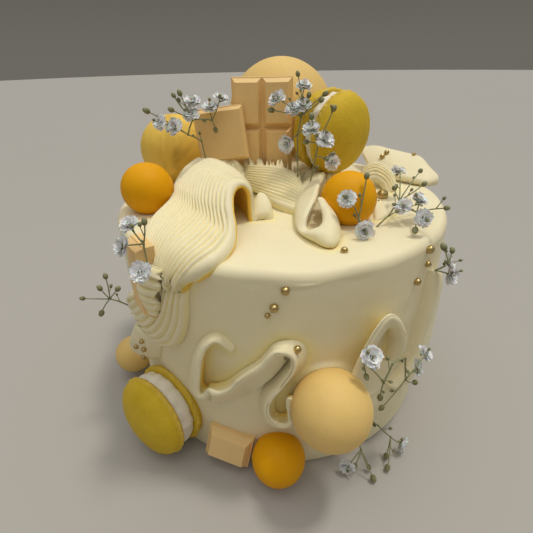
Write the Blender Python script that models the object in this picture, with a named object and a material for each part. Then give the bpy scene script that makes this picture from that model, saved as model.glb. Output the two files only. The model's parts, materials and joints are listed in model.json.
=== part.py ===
"""Mango and passion fruit cake, iced in buttercream and dressed with piped ribbons.

A round cake stands on its flat base. Chocolate balls, macarons, chocolate pieces, combed and
smooth buttercream ribbons and sprigs of small white flowers are pressed into its icing, each
as its own closed solid. Lengths in this file are millimetres, turned into metres when a mesh
is made. The cake's axis is Z, its base is at z = 0 and its front faces -Y. An angle is in
degrees round the axis, 0 at the front and growing towards +X.
"""
import math

import bmesh
import bpy
from mathutils import Matrix, Vector

MM = 0.001
# Room left between two pieces that touch.
GAP = 0.3
# Points closer than this, in metres, count as one after a cut.
MERGE = 0.000001

CAKE_RADIUS = 85.0
CAKE_HEIGHT = 109.4
CAKE_SIDES = 48
RIM_ROUNDING = 4.0
RIM_STEPS = 3
FOOT_ROUNDING = 1.2
TOP_CROWN = 0.4

# Sides and rings of a large and a small chocolate ball.
LARGE_BALL = 16.0
LARGE_BALL_GRID = (18, 10)
SMALL_BALL_GRID = (14, 8)

# A macaron shell's foot: height, chamfer under it and how far the dome starts inside it.
SHELL_FOOT = 2.6
SHELL_CHAMFER = 1.0
SHELL_STEP = 0.8
MACARON_SIDES = 18
DOME_STEPS = 3
# How far the filling stays inside the shells' edge, and its own chamfer.
FILLING_INSET = 1.2
FILLING_CHAMFER = 0.8

# A chocolate cell's raised part as a share of the thickness, the groove beside it and the
# slope of its sides.
CELL_RELIEF = 0.42
CELL_GROOVE = 0.6
CELL_SLOPE = 0.8

# Strips on a ribbon's smooth back, and the rounding of its long edges as a share of its
# thickness.
BACK_STRIPS = 2
EDGE_ROUNDING = 0.325
# How fast a ribbon's root thins out towards its lip.
ROOT_FALL = 1.5

# How deep a cream heap reaches into the cake.
HEAP_ROOT = 3.0

STEM_RADIUS = 0.42
STEM_SIDES = 3
FLOWER_RADIUS = 3.7
BUD_RADIUS = 1.35
BLOSSOM_FLATNESS = 0.8
FORK_RADIUS = 0.85
# How far a sugar bead's centre stands off the icing, as a share of its radius.
BEAD_LIFT = 0.35

COLOURS = {
    "icing": ((0.84, 0.78, 0.62), 0.45, 0.0),
    "orange_chocolate": ((0.83, 0.42, 0.0), 0.35, 0.0),
    "mango_chocolate": ((0.79, 0.47, 0.08), 0.4, 0.0),
    "peach_chocolate": ((0.80, 0.57, 0.27), 0.4, 0.0),
    "caramel_chocolate": ((0.62, 0.40, 0.18), 0.35, 0.0),
    "macaron_shell": ((0.66, 0.46, 0.05), 0.6, 0.0),
    "macaron_filling": ((0.86, 0.80, 0.66), 0.5, 0.0),
    "flower_sprig": ((0.70, 0.72, 0.66), 0.8, 0.0),
}

# Chocolate balls: centre, radius and finish.
BALLS = {
    "ball_orange_top_left": ((-65.5, -19.3, 120.0), 12.6, "orange_chocolate"),
    "ball_mango_top": ((-61.5, 33.0, 127.3), 19.8, "mango_chocolate"),
    "ball_peach_top": ((2.6, 53.5, 143.0), 31.8, "peach_chocolate"),
    "ball_orange_top_right": ((29.3, -36.7, 118.9), 12.5, "orange_chocolate"),
    "ball_peach_front": ((16.7, -95.9, 51.7), 16.3, "peach_chocolate"),
    "ball_orange_front": ((-4.4, -90.8, 12.7), 12.4, "orange_chocolate"),
    "ball_peach_left": ((-92.0, -19.5, 14.2), 11.3, "peach_chocolate"),
}

# Macarons: centre of the filling, axis towards the near shell, radius, height of a dome and
# height of the filling.
MACARONS = {
    "macaron_top": ((27.7, 8.7, 139.8), (0.677, -0.727, -0.107), 21.0, 11.5, 5.0),
    "macaron_base": ((-62.1, -68.7, 21.9), (-0.612, -0.789, 0.05), 21.2, 8.4, 7.6),
}


def clear_scene():
    """Remove every object of the scene that the program opens with."""
    for item in list(bpy.data.objects):
        bpy.data.objects.remove(item, do_unlink=True)


def finish(name):
    """The named finish as a material, made once."""
    made = bpy.data.materials.get(name)
    if made:
        return made
    colour, roughness, metallic = COLOURS[name]
    made = bpy.data.materials.new(name)
    made.use_nodes = True
    shader = made.node_tree.nodes["Principled BSDF"]
    shader.inputs["Base Color"].default_value = (*colour, 1.0)
    shader.inputs["Roughness"].default_value = roughness
    shader.inputs["Metallic"].default_value = metallic
    made.diffuse_color = (*colour, 1.0)
    return made


def add(name, shape, finish_name, smooth=True):
    """Turn a bmesh in millimetres into a named object in metres."""
    bmesh.ops.recalc_face_normals(shape, faces=shape.faces)
    bmesh.ops.scale(shape, vec=(MM, MM, MM), verts=shape.verts)
    mesh = bpy.data.meshes.new(name)
    shape.to_mesh(mesh)
    shape.free()
    mesh.materials.append(finish(finish_name))
    if smooth:
        mesh.shade_smooth()
        mesh.set_sharp_from_angle(angle=math.radians(40))
    piece = bpy.data.objects.new(name, mesh)
    bpy.context.scene.collection.objects.link(piece)
    return piece


def remove(piece):
    """Delete an object and the mesh that only it used."""
    mesh = piece.data
    bpy.data.objects.remove(piece, do_unlink=True)
    if mesh.users == 0:
        bpy.data.meshes.remove(mesh)


def freeze(piece):
    """Apply the modifiers of a piece."""
    bpy.context.view_layer.update()
    graph = bpy.context.evaluated_depsgraph_get()
    made = bpy.data.meshes.new_from_object(piece.evaluated_get(graph))
    old = piece.data
    name = old.name
    piece.modifiers.clear()
    piece.data = made
    bpy.data.meshes.remove(old)
    made.name = name


def keep_largest(piece):
    """Drop the loose scraps that a cut leaves and keep the body with the most volume."""
    shape = bmesh.new()
    shape.from_mesh(piece.data)
    bmesh.ops.remove_doubles(shape, verts=shape.verts, dist=MERGE)
    left = set(shape.verts)
    bodies = []
    while left:
        start = left.pop()
        body = {start}
        front = [start]
        while front:
            vert = front.pop()
            for edge in vert.link_edges:
                other = edge.other_vert(vert)
                if other in left:
                    left.remove(other)
                    body.add(other)
                    front.append(other)
        bodies.append(body)

    def volume(body):
        faces = {face for vert in body for face in vert.link_faces}
        total = 0.0
        for face in faces:
            first = face.verts[0].co
            for one, two in zip(face.verts[1:], face.verts[2:]):
                total += first.dot(one.co.cross(two.co)) / 6
        return abs(total)

    bodies.sort(key=volume, reverse=True)
    for body in bodies[1:]:
        bmesh.ops.delete(shape, geom=list(body), context="VERTS")
    shape.to_mesh(piece.data)
    shape.free()


def reaches(piece, other):
    """Whether the boxes of two pieces overlap."""
    for axis in range(3):
        low, high = [pick(vert.co[axis] for vert in piece.data.vertices) for pick in (min, max)]
        start, end = [pick(vert.co[axis] for vert in other.data.vertices) for pick in (min, max)]
        if start > high or end < low:
            return False
    return True


def carve(piece, cutters):
    """Cut a piece with each cutter that reaches it and keep its main body."""
    for cutter in cutters:
        if not reaches(piece, cutter):
            continue
        cut = piece.modifiers.new("cut", "BOOLEAN")
        cut.operation = "DIFFERENCE"
        cut.solver = "MANIFOLD"
        cut.object = cutter
        freeze(piece)
    keep_largest(piece)


def unite(piece, others):
    """Join a piece with others in one union on a collection, then remove the others."""
    group = bpy.data.collections.new(piece.name + "_joined")
    bpy.context.scene.collection.children.link(group)
    for other in others:
        bpy.context.scene.collection.objects.unlink(other)
        group.objects.link(other)
    join = piece.modifiers.new("join", "BOOLEAN")
    join.operation = "UNION"
    join.solver = "MANIFOLD"
    join.operand_type = "COLLECTION"
    join.collection = group
    freeze(piece)
    for other in others:
        remove(other)
    bpy.data.collections.remove(group)
    keep_largest(piece)


def wall(angle, out, height):
    """The point that stands a distance out of the cake's side at an angle and a height."""
    turn = math.radians(angle)
    reach = CAKE_RADIUS + out
    return Vector((reach * math.sin(turn), -reach * math.cos(turn), height))


def smooth_path(points, steps):
    """Evenly numbered points on one smooth curve through the given ones."""
    points = [Vector(point) for point in points]
    ends = [2 * points[0] - points[1]] + points + [2 * points[-1] - points[-2]]
    path = []
    for step in range(steps + 1):
        place = step / steps * (len(points) - 1)
        index = min(int(place), len(points) - 2)
        part = place - index
        before, first, second, after = ends[index:index + 4]
        path.append(0.5 * (2 * first + (second - before) * part
                           + (2 * before - 5 * first + 4 * second - after) * part ** 2
                           + (3 * first - before - 3 * second + after) * part ** 3))
    return path


def turned(profile, sides):
    """A body turned round Z from a profile of (radius, height) that ends on the axis."""
    shape = bmesh.new()
    verts = [shape.verts.new((radius, 0, height)) for radius, height in profile]
    edges = [shape.edges.new(pair) for pair in zip(verts, verts[1:])]
    bmesh.ops.spin(shape, geom=verts + edges, cent=(0, 0, 0), axis=(0, 0, 1),
                   angle=math.tau, steps=sides, use_merge=True, use_duplicate=False)
    bmesh.ops.remove_doubles(shape, verts=shape.verts, dist=0.0005)
    return shape


def cake_profile(grow):
    """Half of the cake's section, from the centre of the base to the centre of the top."""
    radius = CAKE_RADIUS + grow
    height = CAKE_HEIGHT + grow
    profile = [(0, -grow), (radius - FOOT_ROUNDING, -grow), (radius, FOOT_ROUNDING - grow)]
    for step in range(RIM_STEPS + 1):
        turn = math.radians(90 * step / RIM_STEPS)
        profile.append((radius - RIM_ROUNDING + RIM_ROUNDING * math.cos(turn),
                        height - RIM_ROUNDING + RIM_ROUNDING * math.sin(turn)))
    profile.append((0, height + TOP_CROWN))
    return profile


def ball(name, centre, radius, finish_name, grow=0.0):
    """A round chocolate ball."""
    sides, rings = LARGE_BALL_GRID if radius > LARGE_BALL else SMALL_BALL_GRID
    shape = bmesh.new()
    bmesh.ops.create_uvsphere(shape, u_segments=sides, v_segments=rings, radius=radius + grow)
    bmesh.ops.translate(shape, vec=centre, verts=shape.verts)
    return add(name, shape, finish_name)


def aim(shape, centre, axis):
    """Turn a shape's +Z to an axis and move its origin to a centre."""
    turn = Vector(axis).to_track_quat("Z", "Y").to_matrix().to_4x4()
    bmesh.ops.transform(shape, matrix=Matrix.Translation(centre) @ turn, verts=shape.verts)


def shell_profile(radius, dome, filling, grow):
    """Half of a macaron shell: flat face, ruffled foot and dome."""
    low = filling / 2 + GAP / 2 - grow
    radius = radius + grow
    foot = low + SHELL_FOOT + grow
    inside = radius - SHELL_STEP
    profile = [(0, low), (radius - SHELL_CHAMFER, low), (radius, low + SHELL_CHAMFER),
               (inside, foot)]
    for step in range(1, DOME_STEPS + 1):
        turn = math.radians(90 * step / DOME_STEPS)
        profile.append((inside * math.cos(turn), foot + (dome + grow) * math.sin(turn)))
    return profile


def macaron(name, centre, axis, radius, dome, filling, grow=0.0):
    """Two shells and the filling that runs through between them."""
    pieces = []
    for side, label in ((1, "near_shell"), (-1, "far_shell")):
        shape = turned(shell_profile(radius, dome, filling, grow), MACARON_SIDES)
        aim(shape, centre, Vector(axis) * side)
        pieces.append(add(name + "_" + label, shape, "macaron_shell"))
    half = filling / 2 - GAP / 2 + grow
    reach = radius - FILLING_INSET + grow
    edge = reach - FILLING_CHAMFER
    shape = turned([(0, -half), (edge, -half), (reach, 0), (edge, half), (0, half)],
                   MACARON_SIDES)
    aim(shape, centre, axis)
    pieces.append(add(name + "_filling", shape, "macaron_filling"))
    return pieces


def chocolate(name, size, cells, centre, turns, grow=0.0):
    """A moulded piece of chocolate: a plate with raised bevelled cells on its -Y face.

    size is width, thickness and height, cells the columns and rows, and turns the degrees
    about X, Y and Z, taken in that order.
    """
    width, thickness, height = size
    columns, rows = cells
    relief = CELL_RELIEF * thickness
    shape = bmesh.new()
    bmesh.ops.create_grid(shape, x_segments=columns, y_segments=rows, size=0.5)
    bmesh.ops.scale(shape, vec=(width + 2 * grow, height + 2 * grow, 1), verts=shape.verts)
    face = list(shape.faces)
    made = bmesh.ops.extrude_face_region(shape, geom=face)
    lowered = [item for item in made["geom"] if isinstance(item, bmesh.types.BMVert)]
    bmesh.ops.translate(shape, vec=(0, 0, thickness - relief + grow), verts=lowered)
    raised = [item for item in made["geom"] if isinstance(item, bmesh.types.BMFace)]
    if grow:
        bmesh.ops.translate(shape, vec=(0, 0, relief), verts=lowered)
    else:
        bmesh.ops.inset_individual(shape, faces=raised, thickness=CELL_GROOVE)
        bmesh.ops.inset_individual(shape, faces=raised, thickness=relief * CELL_SLOPE,
                                   depth=relief)
    bmesh.ops.translate(shape, vec=(0, 0, -thickness / 2 - grow / 2), verts=shape.verts)
    stand = Matrix.Rotation(math.radians(90), 4, "X")
    turn = Matrix.Identity(4)
    for angle, axis in zip(turns, "XYZ"):
        turn = Matrix.Rotation(math.radians(angle), 4, axis) @ turn
    bmesh.ops.transform(shape, matrix=Matrix.Translation(centre) @ turn @ stand, verts=shape.verts)
    return add(name, shape, "caramel_chocolate", smooth=False)


def spread_out(values, steps):
    """Values at evenly spaced steps, read between the given ones."""
    if not isinstance(values, tuple):
        return [values] * (steps + 1)
    spread = []
    for step in range(steps + 1):
        place = step / steps * (len(values) - 1)
        index = min(int(place), len(values) - 2)
        spread.append(values[index] + (values[index + 1] - values[index]) * (place - index))
    return spread


def ribbon(name, near, far, thick, along, across, relief=0.0, bulge=0.0, root=0.0, grow=0.0):
    """A piped ribbon of buttercream between two rails.

    near and far are the rails through their own points. The face between them bulges along
    its normal, carries ridges that run with the rails, and is backed at the ribbon's
    thickness, one value or several along it; root is what the back gains towards the first
    rail, where the ribbon stands on the cake. across is the number of strips between the
    rails; the smooth back needs only a few.
    """
    near = smooth_path(near, along)
    far = smooth_path(far, along)
    depths = spread_out(thick, along)
    last = along
    backing = min(across, BACK_STRIPS)
    faces = []
    backs = []
    for index in range(along + 1):
        forward = (near[min(index + 1, last)] + far[min(index + 1, last)]
                   - near[max(index - 1, 0)] - far[max(index - 1, 0)]).normalized()
        reach = far[index] - near[index]
        normal = reach.cross(forward).normalized()
        spread = reach.normalized() * grow
        shift = Vector((0, 0, 0))
        if grow and index in (0, last):
            shift = forward * (grow if index == last else -grow)
        rounding = EDGE_ROUNDING * depths[index]
        for strips, rows, front in ((across, faces, True), (backing, backs, False)):
            row = []
            for strip in range(strips + 1):
                part = strip / strips
                inner = 0 < strip < strips
                base = near[index] - spread + (reach + 2 * spread) * part + shift
                base = base + normal * bulge * math.sin(math.pi * part)
                inset = 0.0 if inner else rounding
                if front:
                    ridge = relief if grow else relief * (strip % 2) * inner
                    row.append(base + normal * (ridge + grow - inset))
                else:
                    foot = root * (1 - part) ** ROOT_FALL
                    row.append(base - normal * (depths[index] + foot - inset + grow))
            rows.append(row)
    shape = bmesh.new()
    top = [[shape.verts.new(point) for point in row] for row in faces]
    low = [[shape.verts.new(point) for point in row] for row in backs]
    for row in range(along):
        for grid in (top, low):
            for strip in range(len(grid[0]) - 1):
                shape.faces.new((grid[row][strip], grid[row][strip + 1],
                                 grid[row + 1][strip + 1], grid[row + 1][strip]))
        for side in (0, -1):
            shape.faces.new((top[row][side], top[row + 1][side],
                             low[row + 1][side], low[row][side]))
    for row in (0, along):
        shape.faces.new(top[row] + low[row][::-1])
    return add(name, shape, "icing")


def mound(name, centre, spread, height, sides, rings, grow=0.0):
    """A rough heap of piped cream, higher in the middle and scalloped round its edge."""
    shape = bmesh.new()
    bottom = CAKE_HEIGHT - HEAP_ROOT - 2 * grow
    peak = shape.verts.new((centre[0], centre[1], centre[2] + height + grow))
    levels = []
    for ring in range(1, rings + 1):
        part = ring / rings
        level = []
        for side in range(sides):
            turn = math.tau * side / sides
            wave = 1 + 0.07 * math.cos(6.5 * turn) + 0.035 * math.sin(13 * turn + ring)
            reach = part * wave
            lift = height * (1 - part ** 2.6) + 1.1 * math.sin(3 * turn + 2.2 * ring) * (1 - part)
            level.append(shape.verts.new((
                centre[0] + (spread[0] + grow) * reach * math.cos(turn),
                centre[1] + (spread[1] + grow) * reach * math.sin(turn),
                centre[2] + lift + grow)))
        levels.append(level)
    foot = [shape.verts.new((vert.co.x, vert.co.y, bottom)) for vert in levels[-1]]
    levels.append(foot)
    for side in range(sides):
        following = (side + 1) % sides
        shape.faces.new((peak, levels[0][side], levels[0][following]))
        for upper, lower in zip(levels, levels[1:]):
            shape.faces.new((upper[side], lower[side], lower[following], upper[following]))
    shape.faces.new(list(reversed(foot)))
    return add(name, shape, "icing")


def rod(start, end, radius):
    """A thin straight stem between two points, as a loose shape."""
    start = Vector(start)
    end = Vector(end)
    shape = bmesh.new()
    bmesh.ops.create_cone(shape, cap_ends=True, segments=STEM_SIDES, radius1=radius,
                          radius2=radius, depth=(end - start).length)
    aim(shape, (start + end) / 2, end - start)
    return add("stem", shape, "flower_sprig")


def knob(centre, radius, flat=1.0):
    """A small round bud or blossom, as a loose shape."""
    shape = bmesh.new()
    if flat == 1.0:
        bmesh.ops.create_uvsphere(shape, u_segments=4, v_segments=2, radius=radius)
    else:
        bmesh.ops.create_icosphere(shape, subdivisions=1, radius=radius)
    bmesh.ops.scale(shape, vec=(1, 1, flat), verts=shape.verts)
    bmesh.ops.translate(shape, vec=centre, verts=shape.verts)
    return add("knob", shape, "flower_sprig")


def nearest_spot(solids, place):
    """The spot of the solids nearest to a place, and the way out of the surface there."""
    place = Vector(place)
    found = None
    for solid in solids:
        hit, spot, normal, face = solid.closest_point_on_mesh(place * MM)
        spot = spot / MM
        if found is None or (spot - place).length < (found[0] - place).length:
            found = (spot, normal)
    return found


def sprig(name, solids, base, forks, flowers, buds):
    """A sprig of small white flowers: stems from the base through its forks to every tip.

    The base is moved to stand on the nearest of the solids.
    """
    spot, normal = nearest_spot(solids, base)
    nodes = [spot + normal * (FORK_RADIUS + GAP)] + [Vector(fork) for fork in forks]
    parts = []
    for index in range(1, len(nodes)):
        start = min(nodes[:index], key=lambda place: (place - nodes[index]).length)
        parts.append(rod(start, nodes[index], STEM_RADIUS))
        parts.append(knob(nodes[index], FORK_RADIUS))
    kinds = ((flowers, FLOWER_RADIUS, BLOSSOM_FLATNESS), (buds, BUD_RADIUS, 1.0))
    for tips, radius, flat in kinds:
        for tip in tips:
            tip = Vector(tip)
            start = min(nodes, key=lambda place: (place - tip).length)
            parts.append(rod(start, tip, STEM_RADIUS))
            parts.append(knob(tip, radius, flat))
    trunk = knob(nodes[0], FORK_RADIUS)
    trunk.name = name
    trunk.data.name = name
    unite(trunk, parts)
    return trunk


def bead(piece, place, radius):
    """A small gold sugar bead that sits on the nearest spot of a piece, as a loose shape."""
    spot, normal = nearest_spot([piece], place)
    shape = bmesh.new()
    bmesh.ops.create_icosphere(shape, subdivisions=1, radius=radius)
    bmesh.ops.translate(shape, vec=spot + normal * radius * BEAD_LIFT, verts=shape.verts)
    return add("bead", shape, "icing")


# Gold sugar beads on each piece of icing: place and radius.
BEADS = {
    "iced_cake": [(wall(-1.1, 0, 102.2), 1.9), (wall(-3.8, 0, 95.0), 2.0),
                  (wall(-5.5, 0, 91.2), 1.3), (wall(43.0, 0, 106.0), 2.0),
                  (wall(44.0, 0, 98.6), 1.6), (wall(39.6, 0, 92.7), 1.8),
                  ((22.0, -70.0, 109.4), 1.7), ((36.5, -54.5, 109.4), 1.3),
                  ((53.5, -9.0, 109.4), 3.4), ((49.1, -19.9, 109.4), 1.9)],
    "wave_front": [((4.0, -90.0, 79.0), 1.8)],
    "wave_left": [((-69.0, -63.0, 59.0), 1.4), ((-73.0, -58.0, 53.0), 1.4),
                  ((-69.0, -62.0, 53.0), 1.5), ((-72.0, -58.0, 43.0), 1.5)],
    "smooth_ribbon_right": [((63.0, 33.0, 122.0), 1.8), ((67.0, 36.0, 122.0), 1.8),
                            ((81.5, 30.0, 121.0), 1.3)],
    "teardrop_curl": [((20.0, -52.0, 116.0), 1.4)],
}

# Heaps of cream: centre, spread, height above the cake's top, sides and rings.
MOUNDS = {
    "cream_bed": dict(centre=(-8.0, 33.0, CAKE_HEIGHT), spread=(38.0, 31.0), height=15.0,
                      sides=18, rings=3),
    "cream_heap_right": dict(centre=(23.0, 7.0, CAKE_HEIGHT), spread=(18.0, 15.0), height=13.0,
                             sides=12, rings=3),
    "cream_heap_left": dict(centre=(-29.0, 8.0, CAKE_HEIGHT), spread=(14.0, 12.0), height=19.0,
                            sides=12, rings=3),
}

# Ribbons: the two rails, thickness, steps along, strips across, ridge relief and bulge.
RIBBONS = {
    "comb_fold_large": dict(
        near=[(-13.2, -37.2, 108), (-13.2, -37.6, 117), (-13.6, -38.8, 124.5),
              (-16.4, -39.8, 128.4), (-20.5, -42, 128.8), (-22.6, -48.5, 127),
              (-22.8, -55.5, 123), (-21.6, -61.5, 118.5), (-21.2, -68, 115), (-23.8, -75, 113.4),
              (-27.7, -80.2, 112.4), (-32.4, -82.6, 110), (-37.1, -82.6, 106),
              (-41.5, -80.2, 102)],
        far=[(-34, 10, 108), (-37, 13, 118), (-41, 14, 124.5), (-45, 11, 126.5),
             (-50, 6, 124), (-53, -1, 121.5), (-54.5, -10, 119), (-54, -21, 117),
             (-56, -31, 115.5), (-59, -40, 114), (-60, -49, 111.5), (-58.5, -58, 108),
             (-54, -68, 101)],
        thick=(3.0, 3.2, 5.0, 7.0, 7.0), along=14, across=19, relief=1.5, bulge=3.0),
    "comb_fan_small": dict(
        near=[(-13.6, -22, 108), (-11.8, -24, 118), (-9.0, -26, 119.5), (-6.4, -28, 117),
              (-5.0, -31, 110)],
        far=[(-15.8, -38.5, 107), (-13.5, -38, 111), (-10, -37.8, 112), (-7, -37, 111.5),
             (-5.4, -37, 108)],
        thick=4.0, along=6, across=4, relief=0.3, bulge=1.2),
    "comb_strip_top": dict(
        near=[(-24, 18, 121), (-17, 10, 123.5), (-8, 7.5, 124), (1, 5, 123.6),
              (8, -1.5, 121.5), (12, -10, 118)],
        far=[(-22, 2, 113), (-14, -5, 113), (-8, -17, 113), (-2.5, -25.5, 113),
             (3, -30, 112.6), (8, -32.5, 112)],
        thick=6.0, along=8, across=13, relief=1.2, bulge=1.2),
    "comb_shell_left": dict(
        near=[wall(-26.5, 1, 101), wall(-27, 3.5, 93), wall(-28.2, 4, 83), wall(-30.5, 4, 73),
              wall(-34, 3.5, 65.5), wall(-39, 3, 62), wall(-45, 2, 61)],
        far=[wall(-38, 4.5, 100), wall(-39, 5.5, 96), wall(-42, 6, 92), wall(-47, 6, 88),
             wall(-52, 6, 83), wall(-57, 5, 77), wall(-61, 3, 70)],
        thick=6.0, along=8, across=13, relief=1.4, bulge=2.2),
    "comb_curl_left": dict(
        near=[wall(-38.6, 6.5, 108), wall(-35.5, 9, 109), wall(-31, 8, 108)],
        far=[wall(-37.4, 6.5, 85), wall(-36.2, 7.5, 84), wall(-35, 6.5, 85)],
        thick=3.0, along=3, across=9, relief=1.8, bulge=2.5),
    "comb_arch_right": dict(
        near=[(44.5, 9, 110), (49, 16, 119), (56, 18, 121), (63.5, 13, 117.5), (65.5, 3, 109)],
        far=[(46, -2, 108), (48.5, 4, 113.5), (53, 5.5, 114.5), (57, 2.5, 112), (58.5, -3, 108)],
        thick=4.0, along=8, across=9, relief=1.2, bulge=2.5),
    "smooth_ribbon_right": dict(
        near=[(54, 58, 121), (63, 52, 123.5), (70.9, 43, 123.4), (78.2, 36.1, 122.6),
              (85.5, 29.3, 121.4), (87.9, 20.7, 118), (91.1, 12.8, 114)],
        far=[(57, 30, 112.5), (62.2, 22.5, 113), (66.7, 16, 113.4), (71.7, 11.7, 113.4),
             (77.3, 8.1, 113), (83.4, 6, 112.2), (89.8, 8.2, 111.2)],
        thick=(3.4, 4.0, 4.0, 3.4), along=9, across=4, bulge=1.5),
    "smooth_slab_right": dict(
        near=[(45, -22, 112.4), (50, -22.6, 112.8), (55, -24, 111.6)],
        far=[(40.6, -41, 110), (46.2, -39, 110.6), (52, -34, 110)],
        thick=3.5, along=3, across=3, bulge=0.6),
    "wave_front": dict(
        near=[wall(-16.1, 0.3, 71.2), wall(-17.9, 0.3, 73.3), wall(-20.0, 0.3, 74.8),
              wall(-22.1, 0.3, 72.3), wall(-23.3, 0.3, 68.7), wall(-24.4, 0.3, 63.1),
              wall(-25.3, 0.3, 55.5), wall(-25.7, 0.3, 49.1), wall(-25.0, 0.3, 47.9),
              wall(-23.5, 0.3, 50.2), wall(-20.7, 0.3, 52.0), wall(-17.6, 0.3, 55.0),
              wall(-15.0, 0.3, 59.2), wall(-11.9, 0.3, 63.9), wall(-8.7, 0.3, 68.5),
              wall(-6.5, 0.3, 72.8), wall(-4.5, 0.3, 77.2), wall(-2.1, 0.3, 79.6),
              wall(1.1, 0.3, 80.1), wall(4.2, 0.3, 77.4), wall(5.4, 0.3, 72.1),
              wall(5.1, 0.3, 66.9), wall(3.2, 0.3, 61.6), wall(0.8, 0.3, 56.3),
              wall(-1.5, 0.3, 51.6), wall(-2.9, 0.3, 47.3), wall(-3.5, 0.3, 42.9),
              wall(-3.2, 0.3, 39.0), wall(-2.2, 0.3, 37.7), wall(-1.2, 0.3, 38.1),
              wall(-0.6, 0.3, 41.0), wall(-0.4, 0.3, 44.8), wall(-0.3, 0.3, 49.2)],
        far=[wall(-15.8, 3, 71.8), wall(-17.0, 4.5, 75.6), wall(-18.3, 6, 78.6),
             wall(-19.8, 7, 76.9), wall(-21.0, 7.5, 73.9), wall(-21.9, 8.5, 69.2),
             wall(-22.7, 9, 61.8), wall(-23.6, 9, 53.5), wall(-23.1, 9, 51.1),
             wall(-20.9, 9, 56.4), wall(-17.8, 9, 56.4), wall(-15.1, 9, 59.7),
             wall(-13.1, 9, 64.8), wall(-10.2, 9, 69.8), wall(-7.3, 9, 74.3),
             wall(-5.5, 9, 78.6), wall(-3.9, 9, 81.6), wall(-2.4, 9, 82.3),
             wall(-0.8, 9, 81.0), wall(0.8, 9, 77.7), wall(1.4, 9, 73.7),
             wall(0.9, 9, 69.3), wall(-0.4, 9, 65.2), wall(-2.1, 9, 60.1),
             wall(-3.7, 9, 56.3), wall(-4.7, 9, 52.3), wall(-5.0, 9, 47.9),
             wall(-4.2, 9, 43.5), wall(-2.2, 9, 41.4), wall(-0.5, 9, 41.4),
             wall(-0.6, 9, 46.6), wall(-1.0, 9, 52.0), wall(-1.0, 9, 57.0)],
        thick=2.6, root=4.0, along=32, across=2, bulge=-0.8),
    "wave_right": dict(
        near=[wall(21.9, 0.3, 53.8), wall(22.4, 0.3, 60.6), wall(23.2, 0.3, 67.0),
              wall(24.0, 0.3, 72.5), wall(25.0, 0.3, 76.8), wall(26.8, 0.3, 79.4),
              wall(29.6, 0.3, 78.3), wall(31.3, 0.3, 74.0), wall(31.3, 0.3, 68.5),
              wall(30.8, 0.3, 62.6), wall(30.2, 0.3, 57.8)],
        far=[wall(15.2, 8, 60.5), wall(15.6, 8, 66.5), wall(17.4, 8, 77.0), wall(19.8, 8, 86.0),
             wall(22.3, 8, 91.0), wall(24.9, 8, 91.0), wall(28.0, 8, 86.5), wall(30.9, 8, 79.0),
             wall(32.6, 8, 72.5), wall(32.8, 8, 66.0), wall(31.6, 7, 60.5)],
        thick=2.6, along=18, across=2, bulge=-1.2),
    "wave_edge": dict(
        near=[wall(60, 2.6, 84), wall(62, 4.0, 76), wall(62, 4.4, 66), wall(60, 4.8, 56),
              wall(56, 5, 46), wall(49, 5, 36), wall(40, 3.5, 29)],
        far=[wall(47, 3.8, 95), wall(46.5, 5.4, 86), wall(45.8, 6, 74), wall(44.6, 6, 62),
             wall(42.8, 6, 51), wall(39, 5.6, 43), wall(34.5, 4, 37)],
        thick=9.0, along=14, across=2, bulge=1.0),
    "wave_left": dict(
        near=[wall(-42.0, 0.3, 61), wall(-43.5, 0.3, 54), wall(-46.0, 0.3, 47), wall(-49.5, 0.3, 43)],
        far=[wall(-50.5, 7, 67), wall(-53.5, 9, 58), wall(-57.0, 9.5, 49), wall(-60.0, 8, 40)],
        thick=3.0, along=7, across=2, bulge=1.5),
    "wave_back": dict(
        near=[wall(128, 0.3, 44), wall(134, 0.3, 58), wall(141, 0.3, 70), wall(149, 0.3, 74),
              wall(156, 0.3, 66), wall(161, 0.3, 54), wall(168, 0.3, 46), wall(176, 0.3, 50),
              wall(183, 0.3, 62), wall(191, 0.3, 74), wall(200, 0.3, 78), wall(208, 0.3, 70),
              wall(213, 0.3, 58)],
        far=[wall(126, 7, 50), wall(132.5, 9, 67), wall(140.5, 9, 81), wall(150.5, 9, 84),
             wall(158.5, 9, 76), wall(163, 9, 65), wall(168.5, 9, 59), wall(174.5, 9, 63),
             wall(181.5, 9, 74), wall(191, 9, 86), wall(202, 9, 89), wall(211, 9, 78),
             wall(216.5, 7, 62)],
        thick=2.6, along=19, across=2, bulge=-1.6),
    "teardrop_curl": dict(
        near=[(24, 9, 109), (14.2, 8, 109), (9.7, -2.8, 109), (7.9, -16.5, 109),
              (7.3, -28.7, 109), (7.7, -40.8, 109), (9.2, -50.6, 109), (12, -59.6, 109),
              (15.1, -66, 109), (18.7, -66.2, 109), (21.3, -59.1, 109), (21.4, -50, 109),
              (19, -40, 109)],
        far=[(26, 4, 118), (21.7, -13.3, 121.5), (17.6, -31, 121.5), (15, -39.2, 119),
             (12.5, -44.9, 117), (10.6, -49.5, 115), (10.1, -52.3, 113), (11.5, -55.4, 112.4),
             (13.6, -56.2, 112.6), (14.9, -53.8, 114), (15, -50.1, 116.5), (14.6, -46.6, 119),
             (14.7, -42.8, 121)],
        thick=2.6, along=16, across=2, bulge=-2.0),
}

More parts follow.
